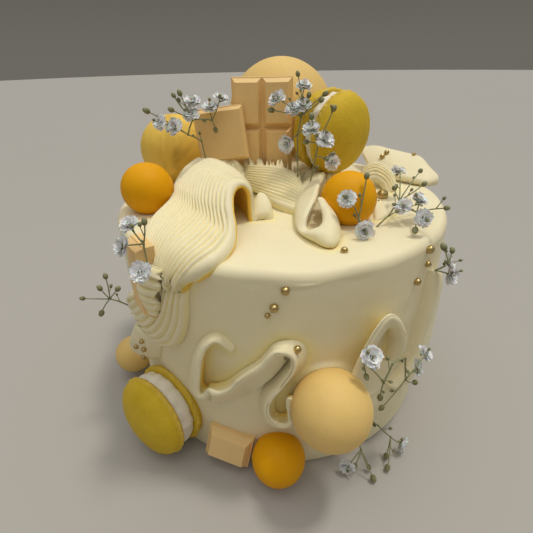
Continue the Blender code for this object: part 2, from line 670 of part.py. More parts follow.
# Sprigs: base on the icing, forks, flowers and buds.
SPRIGS = {
    "sprig_top_left": dict(
        base=(-38.8, -1, 131.7),
        forks=[(-39.7, -2, 138.7), (-45.1, -7, 142.7), (-42.6, -3, 149), (-33.7, -0.5, 148.1)],
        flowers=[(-57.3, -13, 150.1), (-50.9, -12, 148.2), (-42.6, -2, 158.4), (-43.3, -5, 152.8),
                 (-34.2, 0, 155.5), (-28.8, 2, 159.3)],
        buds=[(-50, -6, 160.3), (-47.2, -5, 161.2), (-50.9, -11, 154.7), (-61.8, -13, 154.7),
              (-32.3, 0, 143.4)]),
    "sprig_top_middle": dict(
        base=(9.5, -8, 124), forks=[(8.2, -7, 141.9), (10, -6, 150), (12.7, -12, 145.6)],
        flowers=[(-2.6, -5, 159), (11.9, -1, 164.4), (5.5, -6, 154.5), (10.9, -6, 156.3),
                 (1.9, -7, 136.9)],
        buds=[(8.2, -2, 168), (13.7, -3, 159), (20.8, -8, 159.9), (19, -9, 157.2),
              (-4.4, -4, 152.7)]),
    "sprig_top_macaron": dict(
        base=(14, -17, 121), forks=[(15.6, -22.5, 135), (16.5, -21.5, 140.6)],
        flowers=[(13, -19.7, 147.8), (20.2, -23.5, 143.3), (23.8, -26.5, 132.7)],
        buds=[(13.5, -18, 151.6), (22.9, -21.5, 155.2), (11.1, -19.7, 140.7), (20.2, -25.5, 134.3)]),
    "sprig_ball": dict(
        base=(33.6, -50, 110.4), forks=[(31, -51.5, 116)],
        flowers=[(24.5, -53.6, 126), (32, -60, 113.4)], buds=[(34, -45.5, 132)]),
    "sprig_top_right": dict(
        base=(40, -47, 110.5), forks=[(46, -45, 114), (52, -38, 118), (57, -47, 116)],
        flowers=[(60, -10, 125), (51, -45, 119), (60, -42, 121), (56, -58, 118)],
        buds=[(67, -19, 126), (64, -33, 124), (64, -58, 122), (53, -58, 112.5), (52, -29, 121)]),
    "sprig_edge_high": dict(
        base=(64, -64.5, 97), forks=[(67, -64, 100)],
        flowers=[(69.5, -62, 99.6), (72.4, -62, 92.7)], buds=[(64.8, -61, 106.3), (68.8, -61, 104.5)]),
    "sprig_edge_low": dict(
        base=(31.6, -92, 70), forks=[(37, -93, 63), (40, -91, 71), (47, -86, 69), (49, -86, 57)],
        flowers=[(31, -94.5, 78), (61, -76, 63), (58, -79, 57)],
        buds=[(55.5, -82, 51), (37, -92.5, 54), (39, -91, 46), (29, -95.5, 69)]),
    "sprig_foot": dict(
        base=(36, -80, 27), forks=[(44, -80, 20), (51, -80.5, 12)],
        flowers=[(59, -81, 5.2)], buds=[(49, -84, 2.2), (48, -90, 2.2)]),
    "sprig_foot_left": dict(
        base=(31, -83, 23), forks=[(35, -87, 12)],
        flowers=[(27.5, -92, 4.6)], buds=[(32, -90, 4), (40, -95, 2.2), (39, -90, 3)]),
    "sprig_left_high": dict(
        base=(-52, -76, 112), forks=[(-53, -74.5, 117)],
        flowers=[(-58, -73, 125), (-63, -73.5, 116), (-52.8, -85, 111.2)], buds=[(-51, -75, 126)]),
    "sprig_left_low": dict(
        base=(-79.5, -47.5, 66), forks=[(-84, -48, 75)],
        flowers=[], buds=[(-96, -50, 77), (-89, -50, 68), (-84, -46.5, 87), (-87, -49, 82),
                          (-78, -50, 82)]),
}


# Chocolate pieces: width, thickness and height, columns and rows of cells, centre and turns.
CHOCOLATES = {
    "chocolate_bar_top": dict(size=(31.6, 8.0, 48.0), cells=(2, 2), centre=(-8.6, 15.6, 142.1),
                              turns=(0, 0, -3)),
    "chocolate_tile_top": dict(size=(26.0, 6.0, 27.0), cells=(1, 1), centre=(-30.4, 7.4, 139.6),
                               turns=(-3, -6, 2)),
    "chocolate_piece_front": dict(size=(22.0, 9.0, 17.0), cells=(1, 1),
                                  centre=wall(-18.4, 3.0, 13.0), turns=(-14, 9, -17.6)),
    "chocolate_bar_left": dict(size=(15.0, 7.0, 32.0), cells=(1, 2), centre=wall(-41.0, 4.0, 98.5),
                               turns=(-3, 0, -55)),
}


def icing_and_toppings():
    """The iced cake with a hollow pressed into it for each topping that it holds."""
    cake = add("iced_cake", turned(cake_profile(0.0), CAKE_SIDES), "icing")
    solids = {"iced_cake": cake}
    cutters = {"iced_cake": add("cake_cutter", turned(cake_profile(GAP), CAKE_SIDES), "icing")}
    for name, (centre, radius, finish_name) in BALLS.items():
        solids[name] = ball(name, centre, radius, finish_name)
        cutters[name] = ball(name + "_cutter", centre, radius, finish_name, GAP)
    for name, made in MACARONS.items():
        for piece in macaron(name, *made):
            solids[piece.name] = piece
        for piece in macaron(name + "_cutter", *made, grow=GAP):
            cutters[piece.name.replace("_cutter", "")] = piece
    for name, made in CHOCOLATES.items():
        solids[name] = chocolate(name, **made)
        cutters[name] = chocolate(name + "_cutter", **made, grow=GAP)
    return solids, cutters


def main():
    """Model the cake and everything on it."""
    clear_scene()
    solids, cutters = icing_and_toppings()
    cake = solids["iced_cake"]

    toppings = [cutter for name, cutter in cutters.items() if name != "iced_cake"]
    carve(cake, toppings)
    for shapes, build in ((MOUNDS, mound), (RIBBONS, ribbon)):
        for name, made in shapes.items():
            solids[name] = build(name, **made)
            carve(solids[name], cutters.values())
            cutters[name] = build(name + "_cutter", **made, grow=GAP)
    for name, places in BEADS.items():
        unite(solids[name], [bead(solids[name], place, radius) for place, radius in places])

    for name, made in SPRIGS.items():
        sprig(name, solids.values(), **made)
    for cutter in cutters.values():
        remove(cutter)


if __name__ == "__main__":
    main()
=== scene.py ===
"""Looks of a mango and passion fruit cake iced in buttercream.

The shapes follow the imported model's frame. Lengths in the tables are millimetres and are turned
into metres when a mesh is made. The cake's axis is Z, its base is at z = 0, its front faces -Y,
and an angle is in degrees round the axis, 0 at the front and growing towards +X.
"""
import json
import math
import random

import bpy
from mathutils import Matrix, Vector, noise
from mathutils.kdtree import KDTree

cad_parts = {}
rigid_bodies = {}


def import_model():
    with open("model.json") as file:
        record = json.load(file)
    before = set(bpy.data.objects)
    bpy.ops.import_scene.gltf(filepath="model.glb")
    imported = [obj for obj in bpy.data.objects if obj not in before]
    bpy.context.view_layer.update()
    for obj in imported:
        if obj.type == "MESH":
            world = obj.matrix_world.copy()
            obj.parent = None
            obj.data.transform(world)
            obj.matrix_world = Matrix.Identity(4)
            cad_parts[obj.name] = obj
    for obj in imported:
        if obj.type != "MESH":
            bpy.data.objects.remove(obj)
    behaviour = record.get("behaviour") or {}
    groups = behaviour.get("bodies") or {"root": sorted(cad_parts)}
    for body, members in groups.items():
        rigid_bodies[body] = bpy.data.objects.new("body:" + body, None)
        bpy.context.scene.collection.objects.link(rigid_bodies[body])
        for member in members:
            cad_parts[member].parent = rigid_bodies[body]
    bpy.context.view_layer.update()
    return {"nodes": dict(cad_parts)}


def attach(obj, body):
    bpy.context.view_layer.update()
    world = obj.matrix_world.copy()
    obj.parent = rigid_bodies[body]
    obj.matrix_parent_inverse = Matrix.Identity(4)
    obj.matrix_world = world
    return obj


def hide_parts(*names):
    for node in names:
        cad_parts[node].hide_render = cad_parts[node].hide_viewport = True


bl_info = {
    "name": "Mango and Passion Fruit Cake",
    "version": (1, 0, 0),
    "blender": (4, 5, 0),
    "location": "View3D > Sidebar > Cake",
    "description": "Dresses the cake's packed model with icing, ribbons, toppings and flowers",
    "category": "Object",
}

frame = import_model()

MM = 0.001

CAKE_RADIUS = 85.0
CAKE_HEIGHT = 109.4
RIM_ROUNDING = 4.0
FOOT_ROUNDING = 1.2
# How much the middle of the top stands over the rim.
TOP_CROWN = 0.4
# Steps round the cake, up its wall and across its top.
CAKE_SIDES, WALL_STEPS, TOP_STEPS = 300, 110, 40

# A ribbon's edge rounding, how fast its back thins away from the root, samples across a ridge and
# across a smooth ribbon, and how far from an end it is torn.
EDGE_ROUNDING = 2.6
ROOT_FALL = 1.5
RIDGE_SAMPLES, SMOOTH_SAMPLES = 7, 14
TORN_REACH = 7
# How strongly and how far a painted yellow glow, standing for light through thin cream, lies on
# the icing beside a ribbon, and how near the ribbon has to be.
PAINTED_GLOW, GLOW_REACH, GLOW_TOUCH = 0.55, 8.0, 3.0

# The lip of icing that a ball pushes up: height, distance from the ball and width.
LIP_HEIGHT, LIP_DISTANCE, LIP_WIDTH = 1.9, 1.3, 1.1

BALL_GRID = 96
SHELL_SIDES, DOME_STEPS, FILLING_SIDES = 180, 28, 140
# Height of a macaron's ruffled foot.
SHELL_FOOT = 2.6
HEAP_SIDES, HEAP_RINGS = 220, 46
# How far a heap's ridges and its flat underside sink into the cake's top.
HEAP_SINK, HEAP_BASE = 1.0, 3.0

# A bead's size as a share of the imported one's, and how far its centre stands off the icing.
BEAD_SHARE, BEAD_LIFT = 0.88, 0.45

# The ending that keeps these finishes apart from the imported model's own.
LOOK = "_look"

FLOOR_RADIUS = 4000
SUN_POWER, SUN_SPREAD, SUN_WAY = 1.12, 8, (-0.28, -0.10, -0.955)
LAMP_PLACE, LAMP_AIM, LAMP_SIZE, LAMP_POWER = (-0.02, -0.12, 0.62), (0, 0, 0.06), 0.3, 0.25
# The studio's light from the horizon upwards: the height and the colour there.
STUDIO_LIGHT = [(0.0, (0.15, 0.14, 0.122)), (0.2, (0.11, 0.102, 0.089)),
                (1.0, (1.0, 1.0, 1.0))]
# The camera's place, its turns about X and Z, and its focal length as a share of the width.
CAMERA_PLACE, CAMERA_TURNS = (-0.0082, -0.1989, 0.1775), (60.24, -1.18)
SENSOR_WIDTH, FOCAL_SHARE = 36.0, 377.1 / 533

# Chocolate balls: centre, radius, finish and how far the two halves' seam stands proud.
BALLS = {
    "ball_orange_top_left": ((-65.5, -19.3, 120.0), 12.6, "orange_chocolate", 0.0),
    "ball_mango_top": ((-61.5, 33.0, 127.3), 19.8, "mango_chocolate", 0.0),
    "ball_peach_top": ((2.6, 53.5, 143.0), 31.8, "peach_chocolate", 0.0),
    "ball_orange_top_right": ((29.3, -36.7, 118.9), 12.5, "orange_chocolate", 0.0),
    "ball_peach_front": ((16.7, -95.9, 51.7), 16.3, "peach_chocolate", 0.35),
    "ball_orange_front": ((-4.4, -90.8, 12.7), 12.4, "orange_chocolate", 0.0),
    "ball_peach_left": ((-92.0, -19.5, 14.2), 11.3, "peach_chocolate", 0.0),
}
SEAM_AXIS = (-0.40, -0.57, 0.71)
RINGED_BALL = "ball_peach_front"

# Creases left by the knife under the rim: angle and height, half its width in degrees and half
# its height, and its depth.
CREASES = (((2.0, 102.4), (7.0, 0.9), 0.55), ((-9.0, 104.2), (4.0, 0.7), 0.35),
           ((17.0, 103.6), (5.0, 0.8), 0.35), ((24.0, 33.0), (9.0, 1.2), 0.6))

# Macarons: centre of the filling, axis towards the near shell, radius, height of a dome and
# height of the filling.
MACARONS = {
    "macaron_top": ((27.7, 8.7, 139.8), (0.677, -0.727, -0.107), 21.0, 11.5, 5.0),
    "macaron_base": ((-62.1, -68.7, 21.9), (-0.612, -0.789, 0.05), 21.2, 8.4, 7.6),
}

CHOCOLATES = ("chocolate_bar_top", "chocolate_tile_top", "chocolate_piece_front",
              "chocolate_bar_left")

# Heaps of cream: centre, spread and height above the cake's top.
MOUNDS = {
    "cream_bed": ((-8.0, 33.0), (38.0, 31.0), 15.0),
    "cream_heap_right": ((23.0, 7.0), (18.0, 15.0), 13.0),
    "cream_heap_left": ((-29.0, 8.0), (14.0, 12.0), 19.0),
}


def wall(angle, out, height):
    """The point that stands a distance out of the cake's side at an angle and a height."""
    turn = math.radians(angle)
    reach = CAKE_RADIUS + out
    return (reach * math.sin(turn), -reach * math.cos(turn), height)


def rail(*places):
    """A rail round the cake's side, from angles, distances out of the side and heights."""
    return [wall(*place) for place in places]


def rail_at(out, *places):
    """A rail that keeps one distance out of the cake's side, from angles and heights."""
    return [wall(angle, out, height) for angle, height in places]


# Short ribbons on the top and the left, all combed but the small fan: the two rails, thickness,
# ridges between them, their relief, the bulge of the face, the share of the width that is left
# smooth along the first rail, how strongly the back face is painted with the orange shade of a
# fold, and how far the end is torn and the first edge frayed.
COMBED = {
    "comb_fold_large": dict(
        near=[(-13.2, -37.2, 108), (-13.2, -37.6, 117), (-13.6, -38.8, 124.5),
              (-16.4, -39.8, 128.4), (-20.5, -42, 128.8), (-22.6, -48.5, 127),
              (-22.8, -55.5, 123), (-21.6, -61.5, 118.5), (-21.2, -68, 115), (-23.8, -75, 113.4),
              (-27.7, -80.2, 112.4), (-32.4, -82.6, 110), (-37.1, -82.6, 106),
              (-41.5, -80.2, 102)],
        far=[(-34, 10, 108), (-37, 13, 118), (-41, 14, 124.5), (-45, 11, 126.5),
             (-50, 6, 124), (-53, -1, 121.5), (-54.5, -10, 119), (-54, -21, 117),
             (-56, -31, 115.5), (-59, -40, 114), (-60, -49, 111.5), (-58.5, -58, 108),
             (-54, -68, 101)],
        thick=(3.0, 3.2, 5.0, 7.0, 7.0), along=170, ridges=18, relief=1.9, bulge=3.0, lip=0.06,
        inside=1.0, torn=3.0),
    "comb_fan_small": dict(
        near=[(-13.6, -22, 108), (-11.8, -24, 118), (-9.0, -26, 119.5), (-6.4, -28, 117),
              (-5.0, -31, 110)],
        far=[(-15.8, -38.5, 107), (-13.5, -38, 111), (-10, -37.8, 112), (-7, -37, 111.5),
             (-5.4, -37, 108)],
        thick=4.0, along=50, bulge=1.2),
    "comb_strip_top": dict(
        near=[(-24, 18, 121), (-17, 10, 123.5), (-8, 7.5, 124), (1, 5, 123.6),
              (8, -1.5, 121.5), (12, -10, 118)],
        far=[(-22, 2, 113), (-14, -5, 113), (-8, -17, 113), (-2.5, -25.5, 113),
             (3, -30, 112.6), (8, -32.5, 112)],
        thick=6.0, along=160, ridges=12, relief=1.6, bulge=1.2, frayed=4.5),
    "comb_shell_left": dict(
        near=rail(
            (-26.5, 1, 101), (-27, 3.5, 93), (-28.2, 4, 83), (-30.5, 4, 73), (-34, 3.5, 65.5),
            (-39, 3, 62), (-45, 2, 61)),
        far=rail(
            (-38, 4.5, 100), (-39, 5.5, 96), (-42, 6, 92), (-47, 6, 88), (-52, 6, 83),
            (-57, 5, 77), (-61, 3, 70)),
        thick=6.0, along=100, ridges=9, relief=1.8, bulge=2.2, torn=1.5),
    "comb_curl_left": dict(
        near=rail((-38.6, 6.5, 108), (-35.5, 9, 109), (-31, 8, 108)),
        far=rail((-37.4, 6.5, 85), (-36.2, 7.5, 84), (-35, 6.5, 85)),
        thick=3.0, along=40, ridges=6, relief=2.0, bulge=2.5, torn=1.5),
    "comb_arch_right": dict(
        near=[(44.5, 9, 110), (49, 16, 119), (56, 18, 121), (63.5, 13, 117.5), (65.5, 3, 109)],
        far=[(46, -2, 108), (48.5, 4, 113.5), (53, 5.5, 114.5), (57, 2.5, 112), (58.5, -3, 108)],
        thick=4.0, along=60, ridges=7, relief=1.4, bulge=2.5),
}

# Smooth ribbons: the two rails, thickness, what the back gains towards its root, bulge, and how
# strongly, along the ribbon, a painted yellow-orange shade and glow lies deep in its folds.
SMOOTH = {
    "smooth_ribbon_right": dict(
        near=[(54, 58, 121), (63, 52, 123.5), (70.9, 43, 123.4), (78.2, 36.1, 122.6),
              (85.5, 29.3, 121.4), (87.9, 20.7, 118), (91.1, 12.8, 114)],
        far=[(57, 30, 112.5), (62.2, 22.5, 113), (66.7, 16, 113.4), (71.7, 11.7, 113.4),
             (77.3, 8.1, 113), (83.4, 6, 112.2), (89.8, 8.2, 111.2)],
        thick=(3.4, 4.0, 4.0, 3.4), along=70, bulge=1.5),
    "smooth_slab_right": dict(
        near=[(45, -22, 112.4), (50, -22.6, 112.8), (55, -24, 111.6)],
        far=[(40.6, -41, 110), (46.2, -39, 110.6), (52, -34, 110)],
        thick=3.5, along=30, bulge=0.6),
    "wave_front": dict(
        near=rail_at(
            0.3, (-16.1, 71.2), (-17.9, 73.3), (-20.0, 74.8), (-22.1, 72.3), (-23.3, 68.7),
            (-24.4, 63.1), (-25.3, 55.5), (-25.7, 49.1), (-25.0, 47.9), (-23.5, 50.2),
            (-20.7, 52.0), (-17.6, 55.0), (-15.0, 59.2), (-11.9, 63.9), (-8.7, 68.5), (-6.5, 72.8),
            (-4.5, 77.2), (-2.1, 79.6), (1.1, 80.1), (4.2, 77.4), (5.4, 72.1), (5.1, 66.9),
            (3.2, 61.6), (0.8, 56.3), (-1.5, 51.6), (-2.9, 47.3), (-3.5, 42.9), (-3.2, 39.0),
            (-2.2, 37.7), (-1.2, 38.1), (-0.6, 41.0), (-0.4, 44.8), (-0.3, 49.2)),
        far=rail(
            (-15.8, 3, 71.8), (-17.0, 4.5, 75.6), (-18.3, 6, 78.6), (-19.8, 7, 76.9),
            (-21.0, 7.5, 73.9), (-21.9, 8.5, 69.2), (-22.7, 9, 61.8), (-23.6, 9, 53.5),
            (-23.1, 9, 51.1), (-20.9, 9, 56.4), (-17.8, 9, 56.4), (-15.1, 9, 59.7),
            (-13.1, 9, 64.8), (-10.2, 9, 69.8), (-7.3, 9, 74.3), (-5.5, 9, 78.6), (-3.9, 9, 81.6),
            (-2.4, 9, 82.3), (-0.8, 9, 81.0), (0.8, 9, 77.7), (1.4, 9, 73.7), (0.9, 9, 69.3),
            (-0.4, 9, 65.2), (-2.1, 9, 60.1), (-3.7, 9, 56.3), (-4.7, 9, 52.3), (-5.0, 9, 47.9),
            (-4.2, 9, 43.5), (-2.2, 9, 41.4), (-0.5, 9, 41.4), (-0.6, 9, 46.6), (-1.0, 9, 52.0),
            (-1.0, 9, 57.0)),
        thick=2.6, root=(1.0, 2.0, 6.0, 9.0, 6.5, 6.0, 8.0, 4.0, 2.0), along=300, bulge=-0.8,
        painted_cavity_glow=(0.2, 0.5, 1.2, 0.8, 0.2, 0.0, 0.0, 0.1, 0.5, 1.0, 0.9)),
    "wave_right": dict(
        near=rail_at(
            0.3, (21.9, 53.8), (22.4, 60.6), (23.2, 67.0), (24.0, 72.5), (25.0, 76.8),
            (26.8, 79.4), (29.6, 78.3), (31.3, 74.0), (31.3, 68.5), (30.8, 62.6), (30.2, 57.8)),
        far=rail(
            (15.2, 8, 60.5), (15.6, 8, 66.5), (17.4, 8, 77.0), (19.8, 8, 86.0), (22.3, 8, 91.0),
            (24.9, 8, 91.0), (28.0, 8, 86.5), (30.9, 8, 79.0), (32.6, 8, 72.5), (32.8, 8, 66.0),
            (31.6, 7, 60.5)),
        thick=2.6, along=130, bulge=-1.2, painted_cavity_glow=0.8),
    "wave_edge": dict(
        near=rail(
            (60, 2.6, 84), (62, 4.0, 76), (62, 4.4, 66), (60, 4.8, 56), (56, 5, 46), (49, 5, 36),
            (40, 3.5, 29)),
        far=rail(
            (47, 3.8, 95), (46.5, 5.4, 86), (45.8, 6, 74), (44.6, 6, 62), (42.8, 6, 51),
            (39, 5.6, 43), (34.5, 4, 37)),
        thick=9.0, along=90, bulge=1.0, painted_cavity_glow=0.3),
    "wave_left": dict(
        near=rail_at(0.3, (-42.0, 61), (-43.5, 54), (-46.0, 47), (-49.5, 43)),
        far=rail((-50.5, 7, 67), (-53.5, 9, 58), (-57.0, 9.5, 49), (-60.0, 8, 40)),
        thick=3.0, along=50, bulge=1.5),
    "wave_back": dict(
        near=rail_at(
            0.3, (128, 44), (134, 58), (141, 70), (149, 74), (156, 66), (161, 54), (168, 46),
            (176, 50), (183, 62), (191, 74), (200, 78), (208, 70), (213, 58)),
        far=rail(
            (126, 7, 50), (132.5, 9, 67), (140.5, 9, 81), (150.5, 9, 84), (158.5, 9, 76),
            (163, 9, 65), (168.5, 9, 59), (174.5, 9, 63), (181.5, 9, 74), (191, 9, 86),
            (202, 9, 89), (211, 9, 78), (216.5, 7, 62)),
        thick=2.6, along=200, bulge=-1.6, painted_cavity_glow=0.8),
    "teardrop_curl": dict(
        near=[(24, 9, 109), (14.2, 8, 109), (9.7, -2.8, 109), (7.9, -16.5, 109),
              (7.3, -28.7, 109), (7.7, -40.8, 109), (9.2, -50.6, 109), (12, -59.6, 109),
              (15.1, -66, 109), (18.7, -66.2, 109), (21.3, -59.1, 109), (21.4, -50, 109),
              (19, -40, 109)],
        far=[(26, 4, 118), (21.7, -13.3, 121.5), (17.6, -31, 121.5), (15, -39.2, 119),
             (12.5, -44.9, 117), (10.6, -49.5, 115), (10.1, -52.3, 113), (11.5, -55.4, 112.4),
             (13.6, -56.2, 112.6), (14.9, -53.8, 114), (15, -50.1, 116.5), (14.6, -46.6, 119),
             (14.0, -41.6, 121.3)],
        thick=2.6, along=180, bulge=-2.0, painted_cavity_glow=(0.6, 0.6, 2.0, 2.2, 1.6)),
}

# Gold sugar beads: the piece that each lies on, its place and its radius.
BEADS = {
    "iced_cake": [(wall(-1.1, 0, 102.2), 1.9), (wall(-3.8, 0, 95.0), 2.0),
                  (wall(-5.5, 0, 91.2), 1.3), (wall(43.0, 0, 106.0), 2.0),
                  (wall(44.0, 0, 98.6), 1.6), (wall(39.6, 0, 92.7), 1.8),
                  ((22.0, -70.0, 109.4), 1.7), ((36.5, -54.5, 109.4), 1.3),
                  ((53.5, -9.0, 109.4), 3.4), ((49.1, -19.9, 109.4), 1.9)],
    "wave_front": [((4.0, -90.0, 79.0), 1.8)],
    "wave_left": [((-69.0, -63.0, 59.0), 1.4), ((-73.0, -58.0, 53.0), 1.4),
                  ((-69.0, -62.0, 53.0), 1.5), ((-72.0, -58.0, 43.0), 1.5)],
    "smooth_ribbon_right": [((63.0, 33.0, 122.0), 1.8), ((67.0, 36.0, 122.0), 1.8),
                            ((81.5, 30.0, 121.0), 1.3)],
    "teardrop_curl": [((20.0, -52.0, 116.0), 1.4)],
}

# Sprigs: base on the icing, forks, flowers and buds.
SPRIGS = {
    "sprig_top_left": dict(
        base=(-38.8, -1, 131.7),
        forks=[(-39.7, -2, 138.7), (-45.1, -7, 142.7), (-42.6, -3, 149), (-33.7, -0.5, 148.1)],
        flowers=[(-57.3, -13, 150.1), (-50.9, -12, 148.2), (-42.6, -2, 158.4),
                 (-43.3, -5, 152.8), (-34.2, 0, 155.5), (-28.8, 2, 159.3)],
        buds=[(-50, -6, 160.3), (-47.2, -5, 161.2), (-50.9, -11, 154.7), (-61.8, -13, 154.7),
              (-32.3, 0, 143.4)]),
    "sprig_top_middle": dict(
        base=(9.5, -8, 124), forks=[(8.2, -7, 141.9), (10, -6, 150), (12.7, -12, 145.6)],
        flowers=[(-2.6, -5, 159), (11.9, -1, 164.4), (5.5, -6, 154.5), (10.9, -6, 156.3),
                 (1.9, -7, 136.9)],
        buds=[(8.2, -2, 168), (13.7, -3, 159), (20.8, -8, 159.9), (19, -9, 157.2),
              (-4.4, -4, 152.7)]),
    "sprig_top_macaron": dict(
        base=(14, -17, 121), forks=[(15.6, -22.5, 135), (16.5, -21.5, 140.6)],
        flowers=[(13, -19.7, 147.8), (20.2, -23.5, 143.3), (23.8, -26.5, 132.7)],
        buds=[(13.5, -18, 151.6), (22.9, -21.5, 155.2), (11.1, -19.7, 140.7),
              (20.2, -25.5, 134.3)]),
    "sprig_ball": dict(
        base=(33.6, -50, 110.4), forks=[(31, -51.5, 116)],
        flowers=[(24.5, -53.6, 126), (32, -60, 113.4)], buds=[(34, -45.5, 132)]),
    "sprig_top_right": dict(
        base=(40, -47, 110.5), forks=[(46, -45, 114), (52, -38, 118), (57, -47, 116)],
        flowers=[(60, -10, 125), (51, -45, 119), (60, -42, 121), (56, -58, 118)],
        buds=[(67, -19, 126), (64, -33, 124), (64, -58, 122), (53, -58, 112.5), (52, -29, 121)]),
    "sprig_edge_high": dict(
        base=(64, -64.5, 97), forks=[(67, -64, 100)],
        flowers=[(69.5, -62, 99.6), (72.4, -62, 92.7)],
        buds=[(64.8, -61, 106.3), (68.8, -61, 104.5)]),
    "sprig_edge_low": dict(
        base=(31.6, -92, 70), forks=[(37, -93, 63), (40, -91, 71), (47, -86, 69), (49, -86, 57)],
        flowers=[(31, -94.5, 78), (61, -76, 63), (58, -79, 57)],
        buds=[(55.5, -82, 51), (37, -92.5, 54), (39, -91, 46), (29, -95.5, 69)]),
    "sprig_foot": dict(
        base=(36, -80, 27), forks=[(44, -80, 20), (51, -80.5, 12)],
        flowers=[(59, -81, 5.2)], buds=[(49, -84, 2.2), (48, -90, 2.2)]),
    "sprig_foot_left": dict(
        base=(31, -83, 23), forks=[(35, -87, 12)],
        flowers=[(27.5, -92, 4.6)], buds=[(32, -90, 4), (40, -95, 2.2), (39, -90, 3)]),
    "sprig_left_high": dict(
        base=(-52, -76, 112), forks=[(-53, -74.5, 117)],
        flowers=[(-58, -73, 125), (-63, -73.5, 116), (-52.8, -85, 111.2)], buds=[(-51, -75, 126)]),
    "sprig_left_low": dict(
        base=(-79.5, -47.5, 66), forks=[(-84, -48, 75)],
        flowers=[], buds=[(-96, -50, 77), (-89, -50, 68), (-84, -46.5, 87), (-87, -49, 82),
                          (-78, -50, 82)]),
}


def colour_property(name, description, default):
    """A colour that the user may change."""
    return bpy.props.FloatVectorProperty(name=name, description=description, default=default,
                                         subtype="COLOR", size=3, min=0.0, max=1.0)


def length_property(name, description, default):
    """A length that the user may change."""
    return bpy.props.FloatProperty(name=name, description=description, default=default,
                                   min=0.0, subtype="DISTANCE", unit="LENGTH", precision=5)


class CakeColours(bpy.types.PropertyGroup):
    """Colours of the cake's finishes."""

    icing: colour_property("Icing", "Buttercream over the cake", (0.84, 0.755, 0.49))
    # Painted light: a pale yellow glow beside a fold, standing for light through thin cream, and an
    # orange shade deep in a fold.
    painted_icing_glow: colour_property("Icing glow", "Buttercream beside a fold", (0.92, 0.80, 0.37))
    painted_fold_shade: colour_property("Icing folds", "Buttercream deep in a fold", (0.93, 0.62, 0.10))
    orange: colour_property("Orange balls", "Orange chocolate", (0.80, 0.37, 0.0005))
    mango: colour_property("Mango ball", "Mottled yellow chocolate", (0.84, 0.56, 0.10))
    mango_spot: colour_property("Mango mottling", "Darker patches", (0.42, 0.25, 0.035))
    peach: colour_property("Peach balls", "Pale caramel chocolate", (0.80, 0.55, 0.19))
    caramel: colour_property("Chocolate pieces", "Caramel chocolate", (0.86, 0.60, 0.27))
    macaron: colour_property("Macaron shells", "Almond shells", (0.66, 0.44, 0.012))
    filling: colour_property("Macaron filling", "White cream", (0.86, 0.80, 0.66))
    petal: colour_property("Petals", "White blossoms", (0.93, 0.93, 0.92))
    stem: colour_property("Stems", "Dull green stems", (0.12, 0.13, 0.045))
    bud: colour_property("Buds", "Closed olive buds", (0.13, 0.13, 0.05))
    gold: colour_property("Sugar beads", "Gold sugar beads", (0.52, 0.37, 0.13))
    floor: colour_property("Floor", "Plain studio floor", (0.41, 0.388, 0.352))


class CakeSizes(bpy.types.PropertyGroup):
    """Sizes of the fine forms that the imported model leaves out."""

    stem: length_property("Stem radius", "Radius of a flower stem", 0.00032)
    blossom: length_property("Blossom radius", "Radius of an open flower", 0.0048)
    bud: length_property("Bud radius", "Radius of a closed bud", 0.0013)
    ruffle: length_property("Foot ruffle", "Depth of the ruffle of a macaron's foot", 0.0009)
    bevel: length_property("Chocolate edge", "Rounding of a chocolate's edges", 0.0005)
    unevenness: length_property("Icing unevenness", "Height of the waves in the icing", 0.0004)


class Value:
    """A socket that takes part in sums as a number does."""

    def __init__(self, finish, socket):
        self.finish = finish
        self.socket = socket

    def _math(self, operation, first, second):
        return self.finish.node("ShaderNodeMath", {"operation": operation}, {0: first, 1: second})

    def __add__(self, other):
        return self._math("ADD", self, other)

    def __radd__(self, other):
        return self._math("ADD", other, self)

    def __sub__(self, other):
        return self._math("SUBTRACT", self, other)

    def __rsub__(self, other):
        return self._math("SUBTRACT", other, self)

    def __mul__(self, other):
        return self._math("MULTIPLY", self, other)

    def __rmul__(self, other):
        return self._math("MULTIPLY", other, self)


class Nodes:
    """A tree of nodes in the making."""

    def __init__(self, tree):
        self.tree = tree

    def node(self, kind, settings=None, sockets=None, output=0):
        """A node with its settings made first, then its sockets set or linked."""
        made = self.tree.nodes.new(kind)
        for key, value in (settings or {}).items():
            if key == "stops":
                ramp = made.color_ramp.elements
                for index, (position, colour) in enumerate(value):
                    stop = ramp[index] if index < len(ramp) else ramp.new(position)
                    stop.position = position
                    stop.color = (*colour, 1.0)
            else:
                setattr(made, key, value)
        for key, value in (sockets or {}).items():
            self.put(made.inputs[key], value)
        return Value(self, made.outputs[output])

    def put(self, socket, value):
        """Link or set one socket."""
        if isinstance(value, Value):
            self.tree.links.new(value.socket, socket)
        elif socket.type == "RGBA":
            socket.default_value = (*value, 1.0)
        else:
            socket.default_value = value


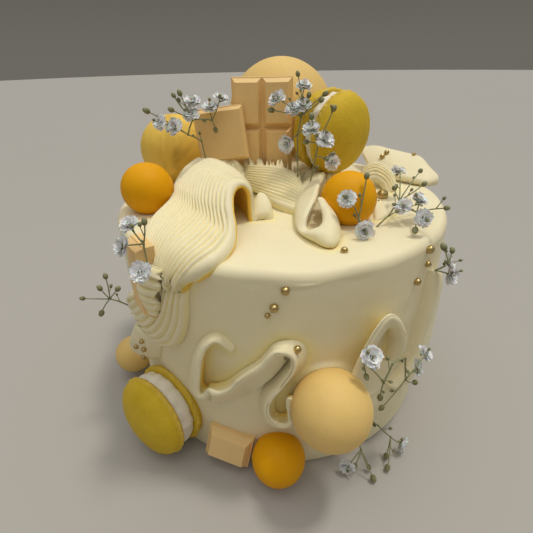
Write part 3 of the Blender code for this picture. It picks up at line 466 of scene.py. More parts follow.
class Finish(Nodes):
    """A material in the making."""

    def __init__(self, name, **constants):
        self.material = bpy.data.materials.new(name + LOOK)
        self.material.use_nodes = True
        super().__init__(self.material.node_tree)
        self.shader = self.tree.nodes["Principled BSDF"]
        for key, value in constants.items():
            self.shader.inputs[key.replace("_", " ")].default_value = value
        self.place = self.node("ShaderNodeTexCoord", output="Object")

    def noise(self, size, detail=2.0, roughness=0.5, distortion=0.0):
        """Cloudy noise from 0 to 1 whose features are about size metres across."""
        return self.node("ShaderNodeTexNoise", {}, {
            "Vector": self.place, "Scale": 1.0 / size, "Detail": detail,
            "Roughness": roughness, "Distortion": distortion})

    def grade(self, value, low, high, to_low=0.0, to_high=1.0):
        """A value read between two limits and held inside two others."""
        return self.node("ShaderNodeMapRange", {"interpolation_type": "SMOOTHSTEP"}, {
            "Value": value, "From Min": low, "From Max": high, "To Min": to_low,
            "To Max": to_high})

    def blend(self, share, first, second):
        """A colour between two by a share."""
        return self.node("ShaderNodeMix", {"data_type": "RGBA"}, {0: share, 6: first, 7: second}, 2)

    def attribute(self, name):
        """A number that the mesh keeps at each point."""
        return self.node("ShaderNodeAttribute", {"attribute_name": name}, output="Fac")

    def bump(self, height, distance):
        """Feed a height into the shader's normal."""
        self.put(self.shader.inputs["Normal"], self.node("ShaderNodeBump", {}, {
            "Height": height, "Distance": distance, "Strength": 1.0}))

    def feed(self, **sockets):
        """Link values that change over the surface to the shader."""
        for key, value in sockets.items():
            self.put(self.shader.inputs[key.replace("_", " ")], value)
        return self.material


def shade(colour, factor):
    """A colour made darker or lighter."""
    return tuple(min(1.0, part * factor) for part in colour)


def lean(colour, other, share):
    """A colour moved towards another."""
    return tuple(a + (b - a) * share for a, b in zip(colour, other))


def icing_finish(colours):
    """Whipped buttercream: satin, faintly cloudy, with tiny pits, and painted light: a yellow glow
    beside ribbons and an orange shade deep in folds.
    """
    icing = tuple(colours.icing)
    made = Finish("icing", Subsurface_Weight=0.15, Subsurface_Scale=0.003,
                  Subsurface_Radius=(1.0, 0.72, 0.4), Specular_IOR_Level=0.3, IOR=1.45)
    cloud = made.noise(0.03, 3.0, 0.55)
    grain = made.noise(0.0016, 3.0, 0.6)
    pits = made.grade(made.noise(0.0026, 1.0), 0.72, 0.86)
    tone = made.blend(cloud, shade(icing, 0.96), lean(shade(icing, 1.04), (1.0, 0.95, 0.8), 0.12))
    # Painted light: the fold share turns the icing to a painted yellow glow, then to a painted
    # orange shade where it is deepest.
    fold = made.attribute("fold")
    tone = made.blend(made.grade(fold, 0.0, 0.6), tone, tuple(colours.painted_icing_glow))
    tone = made.blend(made.grade(fold, 0.5, 1.0), tone, tuple(colours.painted_fold_shade))
    made.bump(grain * 0.3 + cloud * 0.4 - pits * 0.3, 0.00035)
    return made.feed(Base_Color=tone, Roughness=0.4 + grain * 0.18)


def chocolate_finish(name, colour, spot=None, speckle=0.0):
    """Sprayed or moulded chocolate: satin with soft clouds and a fine skin."""
    made = Finish(name, Specular_IOR_Level=0.16)
    cloud = made.noise(0.012, 4.0, 0.6)
    grain = made.noise(0.0009, 2.0, 0.6)
    tone = made.blend(cloud, shade(colour, 0.9), shade(colour, 1.08))
    if spot:
        patch = made.grade(made.noise(0.024, 3.0, 0.55, 0.7), 0.46, 0.72)
        tone = made.blend(patch * 0.7, tone, spot)
    if speckle:
        dots = made.grade(made.noise(0.0013, 1.0), 0.68, 0.76)
        tone = made.blend(dots * speckle, tone, shade(colour, 0.55))
    tone = made.blend(made.attribute("fold") * 0.7, tone, lean(colour, (0.95, 0.72, 0.28), 0.7))
    made.bump(grain * 0.3 + cloud * 0.7, 0.0003)
    return made.feed(Base_Color=tone, Roughness=0.48 + cloud * 0.14)


def macaron_finish(colours):
    """Baked almond shell: matt, finely grained, with darker specks."""
    colour = tuple(colours.macaron)
    made = Finish("macaron_shell", Specular_IOR_Level=0.18)
    cloud = made.noise(0.009, 4.0, 0.6)
    grain = made.noise(0.0007, 3.0, 0.7)
    specks = made.grade(made.noise(0.0011, 1.0), 0.69, 0.76)
    tone = made.blend(cloud, shade(colour, 0.86), lean(shade(colour, 1.12), (1, 0.85, 0.3), 0.1))
    tone = made.blend(specks * 0.55, tone, shade(colour, 0.45))
    tone = made.blend(made.grade(made.attribute("foot"), 0.0, 1.0, 0.0, 0.5), tone,
                      lean(shade(colour, 1.1), (1.0, 0.8, 0.4), 0.3))
    made.bump(grain * 0.8 + cloud * 0.5, 0.00035)
    return made.feed(Base_Color=tone, Roughness=0.5 + grain * 0.2)


def filling_finish(colours):
    """White cream between the shells."""
    colour = tuple(colours.filling)
    made = Finish("macaron_filling", Subsurface_Weight=0.2, Subsurface_Scale=0.003,
                  Specular_IOR_Level=0.4)
    cloud = made.noise(0.004, 3.0, 0.6)
    grain = made.noise(0.0008, 2.0, 0.6)
    tone = made.blend(cloud, shade(colour, 0.88), shade(colour, 1.05))
    made.bump(grain * 0.5 + cloud * 0.8, 0.0004)
    return made.feed(Base_Color=tone, Roughness=0.42 + cloud * 0.2)


def petal_finish(colours):
    """White petals, faintly green where they join."""
    petal = tuple(colours.petal)
    made = Finish("petal", Subsurface_Weight=0.25, Subsurface_Scale=0.001,
                  Specular_IOR_Level=0.3)
    cloud = made.noise(0.0015, 3.0, 0.6)
    tone = made.blend(cloud, shade(petal, 0.9), shade(petal, 1.05))
    tone = made.blend(made.grade(made.attribute("root"), 0.45, 1.0, 0.0, 0.6), tone,
                      (0.46, 0.50, 0.24))
    made.bump(made.noise(0.0004, 2.0), 0.0001)
    return made.feed(Base_Color=tone, Roughness=0.62 + cloud * 0.12)


def stem_finish(name, colour):
    """A stem or a bud's skin, lighter and darker along its length."""
    made = Finish(name, Specular_IOR_Level=0.35)
    cloud = made.noise(0.003, 3.0, 0.6)
    tone = made.blend(cloud, shade(colour, 0.6), lean(shade(colour, 1.3), (0.5, 0.5, 0.2), 0.15))
    tone = made.blend(made.grade(made.attribute("root"), 0.0, 1.0, 0.65, 0.0), tone,
                      lean(shade(colour, 1.6), (0.6, 0.58, 0.4), 0.35))
    made.bump(made.noise(0.0006, 2.0), 0.00015)
    return made.feed(Base_Color=tone, Roughness=0.5 + cloud * 0.2)


def gold_finish(colours):
    """Metallic sugar pearl with a slightly worn coat."""
    colour = tuple(colours.gold)
    made = Finish("gold_bead", Metallic=0.95)
    cloud = made.noise(0.0012, 3.0, 0.6)
    grain = made.noise(0.0004, 2.0, 0.6)
    tone = made.blend(cloud, shade(colour, 0.75), lean(colour, (1.0, 0.8, 0.45), 0.25))
    made.bump(grain * 0.5 + cloud * 0.5, 0.00008)
    return made.feed(Base_Color=tone, Roughness=0.2 + cloud * 0.18)


def floor_finish(colours):
    """Plain matt studio floor."""
    colour = tuple(colours.floor)
    made = Finish("studio_floor", Specular_IOR_Level=0.2)
    cloud = made.noise(0.4, 2.0)
    return made.feed(Base_Color=made.blend(cloud, shade(colour, 0.985), shade(colour, 1.015)),
                     Roughness=0.75 + cloud * 0.05)


def finishes():
    """Every finish of the cake, made once."""
    colours = bpy.context.scene.cake_colours
    makers = {
        "icing": (icing_finish, colours),
        "orange_chocolate": (chocolate_finish, "orange_chocolate", tuple(colours.orange)),
        "mango_chocolate": (chocolate_finish, "mango_chocolate", tuple(colours.mango),
                            tuple(colours.mango_spot)),
        "peach_chocolate": (chocolate_finish, "peach_chocolate", tuple(colours.peach), None, 0.12),
        "caramel_chocolate": (chocolate_finish, "caramel_chocolate", tuple(colours.caramel), None,
                              0.1),
        "macaron_shell": (macaron_finish, colours),
        "macaron_filling": (filling_finish, colours),
        "petal": (petal_finish, colours),
        "stem": (stem_finish, "stem", tuple(colours.stem)),
        "bud": (stem_finish, "bud", tuple(colours.bud)),
        "gold_bead": (gold_finish, colours),
        "studio_floor": (floor_finish, colours),
    }

    def get(name):
        make, *given = makers[name]
        return bpy.data.materials.get(name + LOOK) or make(*given)
    return get


class Shape:
    """Points in millimetres, faces and a number kept at each point."""

    def __init__(self):
        self.points = []
        self.faces = []
        self.kept = []
        self.finish_of_face = []

    def add(self, points, faces, kept=0.0, finish=0):
        """Add a part to the shape."""
        start = len(self.points)
        self.points += [Vector(point) for point in points]
        self.faces += [tuple(start + index for index in face) for face in faces]
        self.kept += kept if isinstance(kept, list) else [kept] * len(points)
        self.finish_of_face += [finish] * len(faces)

    def build(self, name, finish_names, kept_name="fold"):
        """The shape as an object of the scene, in metres."""
        mesh = bpy.data.meshes.new(name)
        mesh.from_pydata([point * MM for point in self.points], [], self.faces)
        attribute = mesh.attributes.new(kept_name, "FLOAT", "POINT")
        attribute.data.foreach_set("value", self.kept)
        get = finishes()
        for finish_name in finish_names:
            mesh.materials.append(get(finish_name))
        mesh.polygons.foreach_set("material_index", self.finish_of_face)
        mesh.validate()
        mesh.update()
        mesh.shade_smooth()
        made = bpy.data.objects.new(name, mesh)
        bpy.context.scene.collection.objects.link(made)
        return made


def settle(piece, node, slot):
    """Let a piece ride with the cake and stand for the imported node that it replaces."""
    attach(piece, "root")
    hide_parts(node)


def sheet_faces(rows, columns, closed=True):
    """Faces of a grid of points laid out row by row, whose rows close into rings or don't."""
    faces = []
    for row in range(rows - 1):
        for column in range(columns if closed else columns - 1):
            after = (column + 1) % columns
            faces.append((row * columns + column, row * columns + after,
                          (row + 1) * columns + after, (row + 1) * columns + column))
    return faces


def ball_profile(radius, rings):
    """Half of a ball's section, from its lowest point to its highest."""
    return [(radius * math.sin(math.pi * step / rings), -radius * math.cos(math.pi * step / rings))
            for step in range(rings + 1)]


def turned(profile, sides):
    """Points and faces of a form turned round Z; its profile starts and ends on the axis."""
    points = []
    for radius, height in profile[1:-1]:
        for side in range(sides):
            turn = math.tau * side / sides
            points.append(Vector((radius * math.cos(turn), radius * math.sin(turn), height)))
    faces = sheet_faces(len(profile) - 2, sides)
    last = len(points) - sides
    for start, height in ((0, profile[0][1]), (last, profile[-1][1])):
        centre = len(points)
        points.append(Vector((0, 0, height)))
        for side in range(sides):
            pair = (start + side, start + (side + 1) % sides)
            faces.append((*(pair[::-1] if start == 0 else pair), centre))
    return points, faces


def aimed(points, centre, axis):
    """Points turned from +Z to an axis and moved to a centre."""
    turn = Vector(axis).to_track_quat("Z", "Y").to_matrix().to_4x4()
    place = Matrix.Translation(centre) @ turn
    return [place @ Vector(point) for point in points]


def wobble(point, size, seed=0.0):
    """Smooth noise from -1 to 1 whose features are about size across."""
    return noise.noise(Vector(point) / size + Vector((seed, 2 * seed, 3 * seed)))


def smooth_path(points, steps):
    """Evenly numbered points on one smooth curve through the given ones."""
    points = [Vector(point) for point in points]
    ends = [2 * points[0] - points[1]] + points + [2 * points[-1] - points[-2]]
    path = []
    for step in range(steps + 1):
        place = step / steps * (len(points) - 1)
        index = min(int(place), len(points) - 2)
        part = place - index
        before, first, second, after = ends[index:index + 4]
        path.append(0.5 * (2 * first + (second - before) * part
                           + (2 * before - 5 * first + 4 * second - after) * part ** 2
                           + (3 * first - before - 3 * second + after) * part ** 3))
    return path


def between(values, part):
    """A value read between the given ones, or the one value."""
    if not isinstance(values, tuple):
        return values
    place = part * (len(values) - 1)
    index = min(int(place), len(values) - 2)
    return values[index] + (values[index + 1] - values[index]) * (place - index)


def rounded(distance, radius):
    """How far a surface falls away near an edge of the given rounding."""
    if distance >= radius:
        return 0.0
    return radius - math.sqrt(max(0.0, radius ** 2 - (radius - distance) ** 2))


def spots_across(width, rounding, count):
    """Shares of a ribbon's width to sample, closer together at its rounded edges."""
    edge = [rounding * (1 - math.cos(math.pi / 2 * step / 5)) / width for step in range(5)]
    margin = rounding / width
    middle = [margin + (1 - 2 * margin) * step / count for step in range(count + 1)]
    return edge + middle + [1 - part for part in reversed(edge)]


def ribbon(name, near, far, thick, along, bulge, ridges=0, relief=0.0, lip=0.0, painted_cavity_glow=0.0,
           inside=0.0, root=0.0, torn=0.0, frayed=0.0, unevenness=0.4):
    """A ribbon of buttercream between two rails, closed, with rounded edges and ends."""
    near = smooth_path(near, along)
    far = smooth_path(far, along)
    width = sum((b - a).length for a, b in zip(near, far)) / len(near)
    middle = [(a + b) / 2 for a, b in zip(near, far)]
    travelled = [0.0]
    for a, b in zip(middle, middle[1:]):
        travelled.append(travelled[-1] + (b - a).length)
    spots = spots_across(width, min(between(thick, 0.5) / 2, EDGE_ROUNDING),
                         ridges * RIDGE_SAMPLES or SMOOTH_SAMPLES)
    seed = 0.37 * len(name)
    points = []
    kept = []
    for index in range(along + 1):
        depth = between(thick, index / along)
        rounding = min(depth / 2, EDGE_ROUNDING)
        forward = (near[min(index + 1, along)] + far[min(index + 1, along)]
                   - near[max(index - 1, 0)] - far[max(index - 1, 0)]).normalized()
        reach = far[index] - near[index]
        normal = reach.cross(forward).normalized()
        end = min(travelled[index], travelled[-1] - travelled[index])
        torn_here = torn * max(0.0, 1 - end / TORN_REACH)
        last_half = index > along / 2
        sides = []
        for front in (True, False):
            row = []
            for part in spots:
                base = near[index] + reach * part + normal * bulge * math.sin(math.pi * part)
                inset = rounded(min(part, 1 - part) * reach.length, rounding)
                inset = max(inset, rounded(end, rounding) * 0.96)
                rise = 0.0
                groove_shade = 0.0
                if ridges and front and part > lip:
                    phase = (part - lip) / (1 - lip) * ridges
                    drift = 0.10 * wobble(base, 14, seed)
                    crest = abs(math.sin(math.pi * (phase + drift))) ** 0.6
                    rise = relief * (crest - 0.5) * min(1.0, min(part, 1 - part) * reach.length / 2)
                    rise *= 1 + 0.3 * wobble(base, 8, seed + 5)
                    groove_shade = 0.55 * (1 - crest)
                rise += unevenness * 0.7 * wobble(base, 13, seed) * (1 if front else -1)
                sway = unevenness * 0.8 * wobble(base, 9, seed + 9)
                foot = between(root, index / along) * (1 - part) ** ROOT_FALL
                height = rise - inset if front else inset - depth - foot + 0.3 * rise
                tear = torn_here * (0.4 + 1.6 * wobble((8 * part, last_half, 0), 0.45, seed))
                strand = max(0.0, wobble((index, 0, front), 2.6, seed) + 0.15)
                fray = 2 * frayed * max(0.0, 1 - 8 * part) * strand
                row.append(base + normal * (height + 0.35 * fray)
                           + reach.normalized() * (sway - fray)
                           + forward * tear * (1 if last_half else -1))
                # Painted shade in the fold share: the grooves between ridges, the back face by its
                # given share, and a yellow-orange glow deep by the root on the front.
                shaded = 0.0 if front else inside
                deep = between(painted_cavity_glow, index / along) * (1.0 if front else 0.1)
                kept.append(min(1.0, groove_shade + shaded + deep * max(0.0, 1.1 - 1.3 * part)))
            sides.append(row)
        points += sides[0] + sides[1][::-1]
        count = len(sides[0])
        kept[-count:] = kept[-count:][::-1]
    columns = len(spots) * 2
    faces = sheet_faces(along + 1, columns)
    faces.append(tuple(range(columns))[::-1])
    faces.append(tuple(along * columns + column for column in range(columns)))
    shape = Shape()
    shape.add(points, faces, kept)
    return shape.build(name, ["icing"])


def cake_profile():
    """Half of the cake's section, from the centre of the base to the centre of the top."""
    profile = [(0, 0), (CAKE_RADIUS - 8, 0), (CAKE_RADIUS - FOOT_ROUNDING, 0)]
    for step in range(1, 5):
        turn = math.radians(90 * step / 4)
        profile.append((CAKE_RADIUS - FOOT_ROUNDING * (1 - math.sin(turn)),
                        FOOT_ROUNDING * (1 - math.cos(turn))))
    high = CAKE_HEIGHT - RIM_ROUNDING
    profile += [(CAKE_RADIUS, FOOT_ROUNDING + (high - FOOT_ROUNDING) * step / WALL_STEPS)
                for step in range(1, WALL_STEPS)]
    for step in range(11):
        turn = math.radians(90 * step / 10)
        profile.append((CAKE_RADIUS - RIM_ROUNDING * (1 - math.cos(turn)),
                        high + RIM_ROUNDING * math.sin(turn)))
    flat = CAKE_RADIUS - RIM_ROUNDING
    for step in range(1, TOP_STEPS + 1):
        radius = flat * (1 - step / TOP_STEPS)
        profile.append((radius, CAKE_HEIGHT + TOP_CROWN * (1 - radius / flat)))
    return profile


def pressed_icing(point, angle):
    """How far the icing stands out where a ball pushed it up or a knife creased it."""
    centre, radius, _, _ = BALLS[RINGED_BALL]
    away = (point - Vector(centre)).length - radius
    upper = min(1.0, max(0.0, (point.z - centre[2]) / 6))
    press = LIP_HEIGHT * upper * math.exp(-((away - LIP_DISTANCE) / LIP_WIDTH) ** 2)
    for (middle, height), (half_width, half_height), depth in CREASES:
        across = (angle - middle) / half_width
        if abs(across) < 1:
            line = (point.z - height - 1.6 * across ** 2) / half_height
            press -= depth * (1 - across ** 2) * (math.exp(-line ** 2)
                                                  - 0.8 * math.exp(-(line - 1.8) ** 2))
    return press


def smoothed_icing(point, unevenness):
    """A point of the cake moved as a scraper and a palette knife leave the icing."""
    if point.z < 0.01:
        return point
    turn = math.atan2(point.x, -point.y)
    out = Vector((point.x, point.y, 0))
    share = min(1.0, point.z / 6.0)
    press = pressed_icing(point, math.degrees(turn)) if turn < 1.2 else 0.0
    broad = noise.noise(Vector((turn * 2.2, point.z / 70, 0.3)))
    streak = noise.noise(Vector((turn * 1.4, point.z / 7, 4.1)))
    lift = noise.noise(Vector((point.x / 26, point.y / 26, 7.7)))
    stroke = noise.noise(Vector((out.length / 5, turn * 1.2, 2.0)))
    if point.z < CAKE_HEIGHT - RIM_ROUNDING:
        swell = unevenness * share * (1.5 * broad + 0.45 * streak)
        return point + out.normalized() * (swell + press)
    rim = 1 - min(1.0, max(0.0, (CAKE_RADIUS - out.length) / 14))
    swell = unevenness * (1.2 * lift + 0.5 * stroke)
    swell += unevenness * 2.2 * rim * noise.noise(Vector((turn * 5, 0, 9)))
    return point + out.normalized() * unevenness * 1.5 * broad * rim + Vector((0, 0, swell))


def folds_near():
    """A finder of the nearest place where a ribbon other than the left wave meets the cake."""
    places = []
    for name, made in (*COMBED.items(), *SMOOTH.items()):
        if name != "wave_left":
            for place in smooth_path(made["near"], 60) + smooth_path(made["far"], 60):
                out = math.hypot(place.x, place.y) - CAKE_RADIUS
                if max(out, place.z - CAKE_HEIGHT) < GLOW_TOUCH:
                    places.append(place)
    finder = KDTree(len(places))
    for index, place in enumerate(places):
        finder.insert(place, index)
    finder.balance()
    return finder


def ball_shape(centre, radius, seam, seed):
    """A ball pressed from two halves, with its seam's share."""
    points, faces = turned(ball_profile(radius, BALL_GRID), BALL_GRID)
    moved = []
    kept = []
    for local, point in zip(points, aimed(points, centre, SEAM_AXIS)):
        out = (point - Vector(centre)).normalized()
        line = 0.0
        if seam:
            line = math.exp(-(local.z / 0.7) ** 2) * (0.75 + 0.5 * wobble(point, 2, seed))
        moved.append(point + out * (seam * line + 0.10 * wobble(point, 9, seed) - 0.05))
        kept.append(max(0.0, line))
    return moved, faces, kept


def shell_shape(radius, dome, filling, ruffle, seed):
    """A macaron shell: flat face, ruffled foot and smooth dome, with its foot's share."""
    low = filling / 2 + 0.15
    profile = [(0, low), (radius - 2.5, low)]
    for step in range(9):
        profile.append((radius - 1.0 + 0.8 * math.sin(math.pi * step / 8),
                        low + SHELL_FOOT * step / 8))
    start = low + SHELL_FOOT
    for step in range(1, DOME_STEPS + 1):
        turn = math.radians(90 * step / DOME_STEPS)
        profile.append(((radius - 0.9) * math.cos(turn) ** 0.9, start + dome * math.sin(turn)))
    profile[-1] = (0, profile[-1][1])
    points, faces = turned(profile, SHELL_SIDES)
    moved = []
    kept = []
    for point in points:
        out = Vector((point.x, point.y, 0))
        share = 0.0
        if out.length > radius - 3.5:
            share = max(0.0, 1 - abs(point.z - low - SHELL_FOOT / 2) / (SHELL_FOOT / 2 + 0.4))
        crumple = noise.fractal(point / 1.5 + Vector((seed, 0, 0)), 1.0, 2.0, 3)
        fine = 0.12 * wobble(point, 2.2, seed) + 0.28 * wobble(point, 11, seed + 3)
        direction = out.normalized() if share > 0 else Vector((0, 0, 1))
        step = ruffle * crumple * 1.2 if share > 0 else 0.0
        lift = fine if point.z > start - 0.1 else 0.0
        moved.append(point + direction * step * share + Vector((0, 0, lift)))
        kept.append(share)
    return moved, faces, kept


def filling_shape(radius, filling, seed):
    """The piped cream between two shells, with a lobed edge."""
    half = filling / 2 + 0.1
    reach = radius - 1.4
    profile = [(0, -half), (reach - 2.0, -half)]
    for step in range(9):
        turn = math.radians(-90 + 180 * step / 8)
        profile.append((reach - 1.6 + 1.6 * math.cos(turn), half * math.sin(turn)))
    profile += [(reach - 2.0, half), (0, half)]
    points, faces = turned(profile, FILLING_SIDES)
    moved = []
    for point in points:
        out = Vector((point.x, point.y, 0))
        if out.length > reach - 3:
            turn = math.atan2(point.y, point.x)
            lobe = 0.5 * abs(math.cos(8 * turn + seed)) + 0.5 * wobble(point, 3.0, seed)
            point = point + out.normalized() * (lobe - 0.5) * 1.3
        moved.append(point)
    return moved, faces


def heap_shape(centre, spread, height, seed):
    """A heap of piped cream, ridged by the nozzle and scalloped round its edge."""
    points = []
    for ring in range(1, HEAP_RINGS + 1):
        part = ring / HEAP_RINGS
        for side in range(HEAP_SIDES):
            turn = math.tau * side / HEAP_SIDES
            wave = 1 + 0.07 * math.cos(6.5 * turn) + 0.035 * math.sin(13 * turn + 3)
            ridge = abs(math.sin(11 * turn + 5.0 * part + 0.8 * math.sin(3 * turn + seed))) ** 0.7
            lift = height * (1 - part ** 2.6) + 1.1 * math.sin(3 * turn + 6.6 * part) * (1 - part)
            swell = (ridge - 0.5) * 1.8 * min(1.0, part * 2) * (1 if part < 0.97 else 0.4)
            point = Vector((centre[0] + spread[0] * part * wave * math.cos(turn),
                            centre[1] + spread[1] * part * wave * math.sin(turn),
                            CAKE_HEIGHT - HEAP_SINK + lift + swell))
            point.z += 0.8 * wobble(point, 4.5, seed)
            points.append(point)
    faces = sheet_faces(HEAP_RINGS, HEAP_SIDES)
    peak = len(points)
    outer = peak - HEAP_SIDES
    foot = peak + 1
    edge = points[outer:]
    points.append(Vector((*centre, CAKE_HEIGHT - HEAP_SINK + height)))
    points += [Vector((point.x, point.y, CAKE_HEIGHT - HEAP_BASE)) for point in edge]
    for side in range(HEAP_SIDES):
        after = (side + 1) % HEAP_SIDES
        faces.append((side, after, peak))
        faces.append((outer + after, outer + side, foot + side, foot + after))
    faces.append(tuple(range(foot, foot + HEAP_SIDES)))
    return points, faces


def tube(shape, path, start_radius, end_radius, finish, kept=(0.0, 0.0), sides=7):
    """Add a tapered tube along a path to a shape."""
    points = []
    numbers = []
    for index, place in enumerate(path):
        part = index / (len(path) - 1)
        ahead = path[min(index + 1, len(path) - 1)] - path[max(index - 1, 0)]
        turn = ahead.to_track_quat("Z", "Y").to_matrix()
        radius = start_radius + (end_radius - start_radius) * part
        for side in range(sides):
            angle = math.tau * side / sides
            points.append(place + turn @ Vector((radius * math.cos(angle),
                                                 radius * math.sin(angle), 0)))
            numbers.append(kept[0] + (kept[1] - kept[0]) * part)
    faces = sheet_faces(len(path), sides)
    faces.append(tuple(range(sides))[::-1])
    faces.append(tuple(len(points) - sides + side for side in range(sides)))
    shape.add(points, faces, numbers, finish)


def stem_path(start, end, bend):
    """A stem's gently bent path between two points."""
    start = Vector(start)
    end = Vector(end)
    reach = end - start
    middle = (start + end) / 2 + bend * reach.length
    return [start.lerp(middle, part).lerp(middle.lerp(end, part), part)
            for part in (0, 0.17, 0.34, 0.5, 0.66, 0.83, 1)]


def petal(direction, side, up, length, width, curl):
    """Points of one notched, cupped petal, from its root outwards, and its roots' share."""
    points = []
    roots = []
    for along in (0.0, 0.3, 0.6, 0.85, 1.0):
        for across in (-1.0, -0.5, 0.0, 0.5, 1.0):
            spread = width * (0.3 + 0.7 * math.sin(math.pi * min(1.0, along * 0.72)))
            notch = 1 - (0.16 * (1 - abs(across)) + 0.10 * across ** 2) * (along > 0.9)
            points.append(direction * length * along * notch + side * spread * across
                          + up * (curl * along ** 2 * length + 0.22 * width * across ** 2))
            roots.append(1 - along)
    return points, roots


def blossom(shape, centre, axis, radius, chance):
    """Add a double flower of many small petals, with its green cup, to a shape."""
    axis = Vector(axis).normalized()
    turn = axis.to_track_quat("Z", "Y").to_matrix()
    centre = Vector(centre)
    base = centre - axis * radius * 0.45
    layers = ((10, 2, 1.0, 0.30), (10, 18, 0.92, 0.28), (9, 36, 0.76, 0.25), (6, 58, 0.56, 0.22))
    for count, rise, reach, breadth in layers:
        for index in range(count):
            around = math.tau * (index + chance.uniform(-0.3, 0.3)) / count + rise
            tilt = math.radians(rise + chance.uniform(-10, 10))
            flat = Vector((math.cos(around), math.sin(around), 0))
            direction = turn @ (flat * math.cos(tilt) + Vector((0, 0, math.sin(tilt))))
            side = turn @ Vector((-math.sin(around), math.cos(around), 0))
            up = side.cross(direction)
            length = radius * reach * chance.uniform(0.88, 1.08)
            points, roots = petal(direction, side, -up, length, radius * breadth,
                                  chance.uniform(-0.1, 0.25))
            shape.add([base + point for point in points], sheet_faces(5, 5, False), roots, 1)
    cup = [base - axis * radius * 0.38, base - axis * radius * 0.2, base + axis * radius * 0.15]
    tube(shape, cup, radius * 0.1, radius * 0.3, 0, (1.0, 0.6), 8)


def bud(shape, centre, axis, radius, finish):
    """Add a closed bud, drawn out along its stem, to a shape."""
    rings = 7
    profile = [(reach * (1.08 - 0.3 * step / rings), 1.25 * height)
               for step, (reach, height) in enumerate(ball_profile(radius, rings))]
    points, faces = turned(profile, 10)
    roots = [0.5 - point.z / (2.6 * radius) for point in points]
    shape.add(aimed(points, centre, axis), faces, roots, finish)


def nearest_spot(pieces, place):
    """The spot of the pieces nearest to a place, and the way out of the surface there."""
    place = Vector(place) * MM
    found = None
    for piece in pieces:
        hit, spot, normal, _ = piece.closest_point_on_mesh(place)
        if hit and (found is None or (spot - place).length < (found[0] - place).length):
            found = (spot, normal)
    return found[0] / MM, found[1]


def sprig_shape(pieces, base, forks, flowers, buds, sizes, chance):
    """Stems, blossoms and buds of one sprig, which grows out of the nearest piece."""
    spot, normal = nearest_spot(pieces, base)
    shape = Shape()
    stem = sizes.stem / MM
    nodes = [spot - normal * 0.6] + [Vector(fork) for fork in forks]

    def bend():
        return Vector([chance.uniform(-0.09, 0.09) for _ in range(3)])

    def side_shoots(path, count):
        for _ in range(count):
            start = path[chance.randint(2, 5)]
            way = (path[-1] - path[0]).normalized()
            out = Vector([chance.uniform(-1, 1) for _ in range(3)])
            out = (out - way * out.dot(way)).normalized()
            tip = start + (way * 0.8 + out * 0.6 + Vector((0, 0, 0.3))) * chance.uniform(2.5, 4.6)
            tip.z = max(tip.z, 2.0)
            shoot = stem_path(start, tip, bend())
            tube(shape, shoot, stem * 0.7, stem * 0.55, 0)
            bud(shape, tip, shoot[-1] - shoot[-2], sizes.bud / MM * chance.uniform(0.45, 0.7), 2)

    for index in range(1, len(nodes)):
        start = min(nodes[:index], key=lambda place: (place - nodes[index]).length)
        path = stem_path(start, nodes[index], bend())
        tube(shape, path, stem * 1.25, stem * 1.05, 0)
        bud(shape, nodes[index], path[-1] - path[-2], stem * 1.7, 0)
        side_shoots(path, 1)
    for tips, opened in ((flowers, True), (buds, False)):
        for tip in tips:
            tip = Vector(tip)
            start = min(nodes, key=lambda place: (place - tip).length)
            path = stem_path(start, tip, bend())
            tube(shape, path, stem, stem * 0.8, 0)
            way = (path[-1] - path[-2]).normalized()
            if opened:
                face = way * 0.7 + Vector((0.0, -0.7, 0.45))
                blossom(shape, tip, face, sizes.blossom / MM * chance.uniform(0.88, 1.05), chance)
                side_shoots(path, 1)
            else:
                bud(shape, tip, way, sizes.bud / MM * chance.uniform(0.85, 1.15), 2)
                side_shoots(path, 1 if chance.random() < 0.5 else 0)
    return shape


def dress(name, node, slot, points, faces, kept=0.0, kept_name="fold"):
    """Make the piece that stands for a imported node, in the finish that its slot names."""
    shape = Shape()
    shape.add(points, faces, kept)
    settle(shape.build(name, [slot], kept_name), node, slot)


class CAKE_OT_iced_cake(bpy.types.Operator):
    """Make the iced body of the cake"""

    bl_idname = "cake.iced_cake"
    bl_label = "Iced Cake"

    def execute(self, context):
        unevenness = context.scene.cake_sizes.unevenness / MM
        points, faces = turned(cake_profile(), CAKE_SIDES)
        folds = folds_near()
        # Painted light: the icing near a ribbon gets a share of a painted yellow glow.
        kept = [PAINTED_GLOW * max(0.0, 1 - folds.find(point)[2] / GLOW_REACH) ** 2 for point in points]
        dress("cake_icing", "iced_cake", "icing",
              [smoothed_icing(point, unevenness) for point in points], faces, kept)
        return {"FINISHED"}


class CAKE_OT_chocolate_balls(bpy.types.Operator):
    """Make the chocolate balls"""

    bl_idname = "cake.chocolate_balls"
    bl_label = "Chocolate Balls"

    def execute(self, context):
        for name, (centre, radius, finish_name, seam) in BALLS.items():
            dress("round_" + name, name, finish_name,
                  *ball_shape(centre, radius, seam, 0.71 * len(name)))
        return {"FINISHED"}


class CAKE_OT_macarons(bpy.types.Operator):
    """Make the macarons with their ruffled feet and their filling"""

    bl_idname = "cake.macarons"
    bl_label = "Macarons"

    def execute(self, context):
        ruffle = context.scene.cake_sizes.ruffle / MM
        for name, (centre, axis, radius, dome, filling) in MACARONS.items():
            for side, label in ((1, "near_shell"), (-1, "far_shell")):
                points, faces, kept = shell_shape(radius, dome, filling, ruffle, radius + side)
                node = name + "_" + label
                dress("baked_" + node, node, "macaron_shell",
                      aimed(points, centre, Vector(axis) * side), faces, kept, "foot")
            points, faces = filling_shape(radius, filling, radius)
            node = name + "_filling"
            dress("piped_" + node, node, "macaron_filling", aimed(points, centre, axis), faces)
        return {"FINISHED"}


